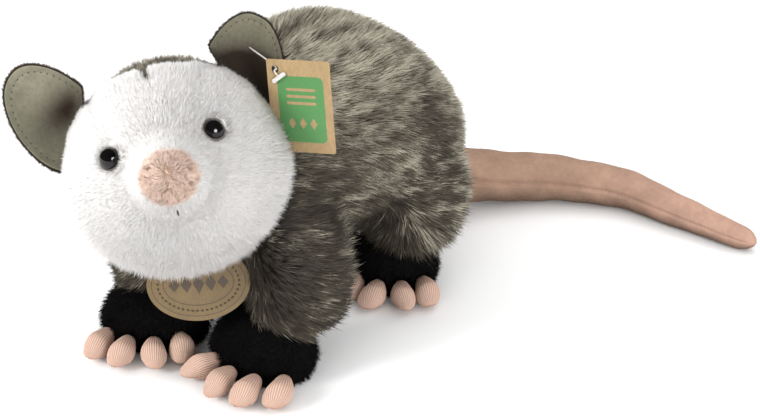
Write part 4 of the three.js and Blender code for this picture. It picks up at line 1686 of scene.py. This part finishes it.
class OPOSSUM_OT_tail(bpy.types.Operator):
    """Tail: one stuffed tube of short nap with a seam along each side"""

    bl_idname = "opossum.tail"
    bl_label = "Tail"

    def execute(self, context):
        mesh, seam = self.tube()
        nodes = ("tail_root", "tail_middle", "tail_tip")
        velour = self.velour(colours())
        settle("tail_skin", mesh, velour, "tail_velour", *nodes, fill=0.85)
        sewn("tail_stitches", seam, 2.6 * MM, 1.5 * MM, 0.45 * MM, "tail_thread")
        self.coat(mesh)
        return {"FINISHED"}

    def radius(self, share):
        size = mix(TAIL_ROOT, TAIL_TIP, share**TAIL_TAPER)
        end = np.clip((share - (1 - TAIL_END)) / TAIL_END, 0, 1)
        return size * np.sqrt(1 - end**2)

    def tube(self):
        end = 1 - TAIL_END * (1 - np.sin(np.linspace(0.05, 1.5, 14)))
        shares = np.concatenate((np.linspace(0.002, 0.955, 150), end))
        places, ways = along_curve(TAIL_LINE, shares)
        turns = turns_of(TAIL_SIDES)
        groove = bell(turns - math.radians(8), 0.06) + bell(turns - math.radians(180), 0.06)
        rings, seams = [], []
        for share, place, way in zip(shares, places, ways):
            side = unit(np.cross(way, UP))
            rise = np.cross(side, way)
            lumps = 1 + 0.026 * np.sin(34 * share + 2 * np.cos(turns))
            lumps += 0.016 * np.sin(71 * share + 3 * turns)
            radius = (self.radius(share) - TAIL_DEPTH) * (lumps - 0.085 * groove)
            rings.append(place + column(radius) * circle(turns, side, rise))
            if share < 0.95:
                seams.append(rings[-1][2])
        tip = TAIL_LINE[-1] - ways[-1] * TAIL_DEPTH
        mesh = closed_skin("tail_skin", TAIL_LINE[0], rings, tip)
        set_points(mesh, on_floor(points_of(mesh), SOLE_GAP))
        flush = np.repeat(step(0.3, 0.95, shares), TAIL_SIDES)
        put(mesh, "flush", np.concatenate(([0.0], flush, [1.0])))
        # Painted shade on the underside, darker where the skin faces the floor
        put(mesh, "under", step(0.2, -0.8, normals_of(mesh)[:, 2]))
        return mesh, np.array(seams)

    def velour(self, paint):
        shader = Shader("Tail velour", Roughness=0.9, Specular_IOR_Level=0.2)
        height, grain = shader.nap(0.45, 3, 0.88, 1.1)
        cloud = shader.shade(shader.noise(16 * MM, 4.0), 0.86, 1.14)
        flush, under = shader.attribute("flush"), shader.attribute("under")
        hue = shader.blend(flush, colour(paint.tail), colour(paint.tail_tip))
        # The underside is painted in shade, at half the tail's colour
        hue = shader.blend(under, hue, colour(np.array(paint.tail) * 0.5))
        return shader.finish(shader.shaded(hue, shader.times(cloud, grain)), height, 0.35)

    def coat(self, mesh):
        pile = toy()
        coat = Coat(mesh, pile.tail_spacing, 71)
        shares = np.linspace(0, 1, 120)
        places, ways = along_curve(TAIL_LINE, shares)
        tree = tree_of(places)
        near = np.array([tree.find(p)[1] for p in coat.root])
        coat.set(
            lie=laid(ways[near] + coat.sway(0.2), coat.normal),
            length=pile.tail_length * coat.vary(0.2, 0.5, 1.6),
            width=0.5 * MM,
            lift_root=30 + coat.jitter(9),
            lift_tip=15.0,
            tone=coat.mottle(0.3, 12 * MM, 6, 0.2),
            stain=step(0.3, 0.95, shares[near]),
        )
        away = coat.root - places[near]
        side = unit(np.cross(ways[near], UP))
        turn = np.arctan2(away[:, 2], np.sum(away * side, axis=1)) / (2 * math.pi) + 0.5
        unwrap = np.column_stack((turn, shares[near])) * (1 - 3 * PATCH) + PATCH
        coat_pieces("tail_coat", "tail_velour", coat, coat.spines(1), unwrap)


# Tags

HANG_TURN = (16, -5, -6)
HANG_SIZE = np.array((35.0, 49.0, 0.8)) * MM
HANG_CORNER = 1.2 * MM
HANG_HOLE = 2.1 * MM
HANG_HOLE_INSET = (4.6 * MM, 5.2 * MM)
# The printed panel's middle, from the card's middle
PANEL_AT = (0.6, -1.5)
OVAL_TURN = (38, -18, -5)
OVAL_SIZE = np.array((55.0, 40.0, 1.0)) * MM
# Where the oval card's diamonds stand, and half their heights
OVAL_DIAMONDS = ((-13, 3.6), (-6.5, 4.6), (0, 5.6), (6.5, 4.6), (13, 3.6))
PIN_RADIUS = 0.4 * MM
# How thick a print is, and how far it stands out of its card
PRINT_THICK = 0.05 * MM
PRINT_PROUD = 0.02 * MM


def tag_matrix(node, turns):
    """Place of a card: X along its width, Z along its height, -Y to its front"""
    matrix = Matrix.Translation(Vector(centre_of(node)))
    for angle, axis in zip(turns, "ZXY"):
        matrix = matrix @ Matrix.Rotation(math.radians(angle), 4, axis)
    return matrix


def card_mesh(name, outline, thick, matrix, holes=(), front=0.0):
    """A flat card with softened edges, its face the given distance in front of its middle plane"""
    curve = bpy.data.curves.new(name, "CURVE")
    curve.dimensions = "2D"
    curve.fill_mode = "BOTH"
    curve.extrude = thick / 2 * 0.8
    curve.bevel_depth = thick / 2 * 0.2
    curve.bevel_resolution = 2
    curve.offset = -thick / 2 * 0.2
    for loop in (outline, *holes):
        spline = curve.splines.new("POLY")
        spline.points.add(len(loop) - 1)
        for point, (x, y) in zip(spline.points, loop):
            point.co = (x, y, 0, 1)
        spline.use_cyclic_u = True
    mesh = result_of(curve)
    stand = Matrix.Rotation(math.radians(90), 4, "X")
    mesh.transform(matrix @ Matrix.Translation((0, -front, 0)) @ stand)
    with opened(mesh) as work:
        bmesh.ops.remove_doubles(work, verts=work.verts, dist=0.001 * MM)
        bmesh.ops.recalc_face_normals(work, faces=work.faces)
    return mesh


def oval(half_x, half_y, count=96, middle=(0.0, 0.0)):
    x, y = middle
    return [(x + half_x * math.cos(t), y + half_y * math.sin(t)) for t in turns_of(count)]


def rounded(half_x, half_y, corner, middle=(0.0, 0.0)):
    loop = []
    for start, sx, sy in ((0, 1, 1), (90, -1, 1), (180, -1, -1), (270, 1, -1)):
        for turn in np.radians(np.linspace(start, start + 90, 7)):
            x = middle[0] + sx * (half_x - corner) + corner * math.cos(turn)
            loop.append((x, middle[1] + sy * (half_y - corner) + corner * math.sin(turn)))
    return loop


def band(half_x, half_y, wide):
    """The two loops of an oval line"""
    return oval(half_x, half_y), [oval(half_x - wide, half_y - wide)]


def diamond(x, y, half_x, half_y):
    """A diamond's corners, from its middle and its half sizes in mm"""
    corners = ((0, half_y), (half_x, 0), (0, -half_y), (-half_x, 0))
    return [((x + across) * MM, (y + up) * MM) for across, up in corners]


class OPOSSUM_OT_tags(bpy.types.Operator):
    """Tags: a hang tag on a moulded pin, and an oval card on the chest, with plain prints"""

    bl_idname = "opossum.tags"
    bl_label = "Tags"

    def execute(self, context):
        paint = np.array(colours().card)
        self.hang_tag(self.kraft("Kraft card", paint))
        # The oval card is the same kraft at half brightness: painted shade, as it hangs under the chin
        self.oval_tag(self.kraft("Kraft card in painted shade", paint * 0.5))
        return {"FINISHED"}

    def kraft(self, name, paint):
        """Kraft card: short fibres, soft clouds and dark specks"""
        shader = Shader(name, Roughness=0.8, Specular_IOR_Level=0.3)
        mapping = {"Vector": shader.place(), "Scale": (1.0, 1.0, 0.22)}
        stretch = shader.node("ShaderNodeMapping", mapping).outputs["Vector"]
        fibre = shader.noise(0.7 * MM, 4.0, 0.7, stretch)
        specks = shader.ramp(shader.noise(0.6 * MM, 1.0), 0.7, 0.78, 1.0, 0.72)
        shade = shader.times(shader.shade(fibre, 0.84, 1.14), specks)
        shade = shader.times(shade, shader.shade(shader.noise(9 * MM, 3.0), 0.93, 1.07))
        return shader.finish(shader.shaded(paint, shade), fibre, 0.05)

    def printed(self, name, outline, holes, matrix, card, material):
        """A printed layer on the front of a card of that size"""
        front = card[2] / 2 + PRINT_PROUD
        settle(name, card_mesh(name, outline, PRINT_THICK, matrix, holes, front), material)

    def hang_tag(self, kraft):
        matrix = tag_matrix("hang_tag", HANG_TURN)
        half = HANG_SIZE / 2
        hole_at = (HANG_HOLE_INSET[0] - half[0], half[1] - HANG_HOLE_INSET[1])
        hole = oval(HANG_HOLE, HANG_HOLE, 32, hole_at)
        outline = rounded(half[0], half[1], HANG_CORNER)
        card = card_mesh("hang_tag_card", outline, HANG_SIZE[2], matrix, [hole])
        settle("hang_tag_card", card, kraft, "card", "hang_tag")
        x, y = PANEL_AT
        panel = rounded(12.8 * MM, 17.5 * MM, 3 * MM, (x * MM, y * MM))
        bar = (8.2 * MM, 0.75 * MM, 0.7 * MM)
        marks = [rounded(*bar, (x * MM, high * MM)) for high in (9.0, 5.4, 1.8)]
        marks += [diamond(x + aside, -9, 2, 3) for aside in (-6, 0, 6)]
        self.printed("hang_tag_panel", panel, marks, matrix, HANG_SIZE, material_of("green"))
        self.pin(matrix, hole_at)

    def pin(self, matrix, hole_at):
        """A clear moulded pin from the left ear, through the hole, to a flat bar"""
        start = ear_point(EARS["left"], -0.07, 0.24, 1.2 * MM)
        x, z = hole_at
        bar_at = matrix @ Matrix.Translation((x + 2.4 * MM, -1.4 * MM, z - 4 * MM))

        def on_card(ahead, drop):
            return np.array(matrix @ Vector((x, -ahead, z - drop)))

        knots = (
            start,
            mix(start, on_card(-3 * MM, 0), 0.6),
            on_card(-1.5 * MM, 0),
            on_card(1.2 * MM, 0.4 * MM),
            np.array(bar_at.translation),
        )
        places, ways = along_curve(np.array(knots), np.linspace(0, 1, 48))
        turns = turns_of(10)
        rings = []
        for place, way in zip(places, ways):
            side = unit(np.cross(way, (0.3, 0.2, 0.9)))
            rings.append(place + PIN_RADIUS * circle(turns, side, np.cross(way, side)))
        thread = closed_skin("tag_pin", places[0], rings, places[-1])
        settle("tag_pin_thread", thread, material_of("pin"), "pin")
        outline = rounded(4.3 * MM, 1.1 * MM, 0.9 * MM)
        bar_at = bar_at @ Matrix.Rotation(math.radians(-35), 4, "Y")
        bar = card_mesh("tag_bar", outline, 1.1 * MM, bar_at)
        settle("tag_pin_bar", bar, material_of("pin"), "pin", "tag_pin")

    def oval_tag(self, kraft):
        matrix = tag_matrix("oval_tag", OVAL_TURN)
        half = OVAL_SIZE / 2
        card = card_mesh("oval_tag_card", oval(half[0], half[1]), OVAL_SIZE[2], matrix)
        settle("oval_tag_card", card, kraft, "card", "oval_tag")
        ink = material_of("ink")
        for name, inset, wide in (("rim", (2.4, 2.4), 0.4), ("ring", (8.6, 8.2), 0.5)):
            loops = band(half[0] - inset[0] * MM, half[1] - inset[1] * MM, wide * MM)
            self.printed(f"oval_tag_{name}", *loops, matrix, OVAL_SIZE, ink)
        for k, (x, high) in enumerate(OVAL_DIAMONDS):
            mark = diamond(x, 0, 3, high)
            self.printed(f"oval_tag_diamond_{k + 1}", mark, [], matrix, OVAL_SIZE, ink)
        loop = oval(half[0] - 5.9 * MM, half[1] - 5.4 * MM)
        path = [matrix @ Vector((x, -half[2] - PRINT_PROUD, y)) for x, y in loop]
        sewn("oval_tag_dots", path, 2.6 * MM, 1.5 * MM, 1.2 * MM, "ink", closed=True)


# Materials that several pieces share


def plain_material(name, rgb, roughness):
    """A smooth finish with faint grain"""
    shader = Shader(name, Roughness=roughness)
    grain = shader.noise(0.5 * MM, 2.0)
    return shader.finish(shader.shaded(rgb, shader.shade(grain, 0.9, 1.08)), grain, 0.04)


def moulded_material(name, rgb, size, darkest, palest, **settings):
    """A smooth moulded plastic, slightly cloudy"""
    shader = Shader(name, **settings)
    cloud = shader.shade(shader.noise(size, 2.0), darkest, palest)
    return shader.set(Base_Color=shader.shaded(rgb, cloud))


def make_materials(paint):
    """The finish of each plush is named as its slot is"""
    grey = (paint.grey_root, paint.grey_middle, paint.grey_tip)
    white, pink, black = np.array(paint.white), np.array(paint.pink), np.array(paint.black)
    ear, tail = np.array(paint.ear_back), np.array(paint.tail)
    eye = {"Roughness": 0.09, "IOR": 1.45, "Specular_IOR_Level": 0.45}
    pin = {"Roughness": 0.25, "IOR": 1.46, "Transmission_Weight": 0.35}
    return {
        "grey_plush": pile_material("Grey plush", grey, 0.85),
        "white_plush": pile_material("White plush", (white * 0.94, white * 0.98, white), 0.1, 0.1, 0.5),
        "pink_plush": pile_material("Pink plush", (paint.pink_root, pink * 0.88, pink), 0.6, 0.15, 0.4),
        "black_plush": pile_material("Black plush", (black * 0.4, black, black * 1.6), 0.5, 0.03),
        "ear_plush": pile_material("Ear plush", (ear * 0.4, ear, ear * 1.8), 0.5),
        "tail_velour": pile_material(
            "Tail nap", (tail * 0.8, tail, tail * 1.12), 0.3, stain=paint.tail_tip
        ),
        "thread": plain_material("Dark thread", (0.02, 0.015, 0.011), 0.8),
        "toe_thread": plain_material("Toe thread", (0.40, 0.20, 0.14), 0.8),
        "tail_thread": plain_material("Tail thread", (0.26, 0.14, 0.10), 0.8),
        "eye_plastic": moulded_material(
            "Eye plastic", (0.004, 0.0035, 0.0035), 3 * MM, 0.8, 1.2, **eye
        ),
        "pin": moulded_material("Clear pin", (0.74, 0.72, 0.70), 2 * MM, 0.94, 1.0, **pin),
        "green": plain_material("Green print", paint.green, 0.55),
        "ink": plain_material("Dark print", paint.ink, 0.6),
    }


MATERIALS = {}


def material_of(name):
    if not MATERIALS:
        MATERIALS.update(make_materials(colours()))
    return MATERIALS[name]


# Stage

FLOOR_HALF = 4.0
# The point that the camera looks at, from the trunk's middle on the floor
VIEW_MIDDLE = Vector((40, 0, 60)) * MM
LIGHT_AIM = Vector((0.0, 0.0, 0.06))
# Place, size and power of each light. The last one only makes the highlights in the eyes.
LIGHTS = (
    ("Key", (-0.75, -1.7, 0.95), 0.7, 27),
    ("Side", (-1.5, -0.5, 0.7), 1.0, 10),
    ("Top", (-0.2, 0.9, 1.4), 0.8, 5),
    ("Fill", (1.49, -0.5, 0.4), 0.6, 13),
    ("Glint", (1.2, -0.56, 0.62), 0.75, 30),
)


class OPOSSUM_OT_stage(bpy.types.Operator):
    """Stage: a white floor, soft light from the upper left, and the camera"""

    bl_idname = "opossum.stage"
    bl_label = "Stage"

    def execute(self, context):
        self.floor()
        self.lights()
        self.camera(context.scene.opossum_view)
        context.scene.view_settings.view_transform = "Standard"
        return {"FINISHED"}

    def floor(self):
        mesh = bpy.data.meshes.new("floor")
        corners = [(x * FLOOR_HALF, y * FLOOR_HALF, 0) for x, y in ((-1, -1), (1, -1), (1, 1), (-1, 1))]
        mesh.from_pydata(corners, [], [(0, 1, 2, 3)])
        shader = Shader("Floor", Roughness=0.9, Specular_IOR_Level=0.0)
        cloud = shader.shade(shader.noise(0.3, 2.0), 0.985, 1.0)
        base = shader.shaded((0.82, 0.82, 0.82), cloud)
        finish_object("floor", mesh, shader.set(Base_Color=base))

    def lights(self):
        scene = bpy.context.scene
        world = bpy.data.worlds.new("Studio")
        world.use_nodes = True
        background = world.node_tree.nodes["Background"].inputs
        background["Color"].default_value = (1.0, 1.0, 1.0, 1.0)
        background["Strength"].default_value = 1.24
        world.cycles_visibility.glossy = False
        scene.world = world
        for name, place, size, power in LIGHTS:
            data = bpy.data.lights.new(name, "AREA")
            data.shape = "DISK"
            data.size = size
            data.energy = power
            light = bpy.data.objects.new(name, data)
            light.visible_glossy = name == "Glint"
            light.visible_diffuse = name != "Glint"
            light.location = place
            light.rotation_euler = (LIGHT_AIM - Vector(place)).to_track_quat("-Z", "Y").to_euler()
            scene.collection.objects.link(light)

    def camera(self, view):
        data = bpy.data.cameras.new("Camera")
        data.angle = view.field
        data.clip_start = 0.01
        camera = bpy.data.objects.new("Camera", data)
        turn, level = view.azimuth, math.cos(view.elevation)
        back = Vector((math.sin(turn) * level, -math.cos(turn) * level, math.sin(view.elevation)))
        camera.location = Vector(TOY) + VIEW_MIDDLE + back * view.distance
        camera.rotation_euler = back.to_track_quat("Z", "Y").to_euler()
        bpy.context.scene.collection.objects.link(camera)
        bpy.context.scene.camera = camera


OPERATORS = (
    OPOSSUM_OT_stage,
    OPOSSUM_OT_head,
    OPOSSUM_OT_eyes,
    OPOSSUM_OT_nose,
    OPOSSUM_OT_ears,
    OPOSSUM_OT_paws,
    OPOSSUM_OT_toes,
    OPOSSUM_OT_body,
    OPOSSUM_OT_tail,
    OPOSSUM_OT_tags,
)
GROUPS = {
    "opossum_pile": OpossumPile,
    "opossum_colours": OpossumColours,
    "opossum_view": OpossumView,
}


def register():
    for name, group in GROUPS.items():
        bpy.utils.register_class(group)
        setattr(bpy.types.Scene, name, bpy.props.PointerProperty(type=group))
    for item in (*OPERATORS, OpossumPanel):
        bpy.utils.register_class(item)


def unregister():
    for item in reversed((*OPERATORS, OpossumPanel)):
        bpy.utils.unregister_class(item)
    for name, group in GROUPS.items():
        delattr(bpy.types.Scene, name)
        bpy.utils.unregister_class(group)


def main():
    register()
    bpy.ops.opossum.stage()
    bpy.ops.opossum.head()
    bpy.ops.opossum.eyes()
    bpy.ops.opossum.nose()
    bpy.ops.opossum.ears()
    bpy.ops.opossum.paws()
    bpy.ops.opossum.toes()
    bpy.ops.opossum.body()
    bpy.ops.opossum.tail()
    bpy.ops.opossum.tags()


if __name__ == "__main__":
    main()
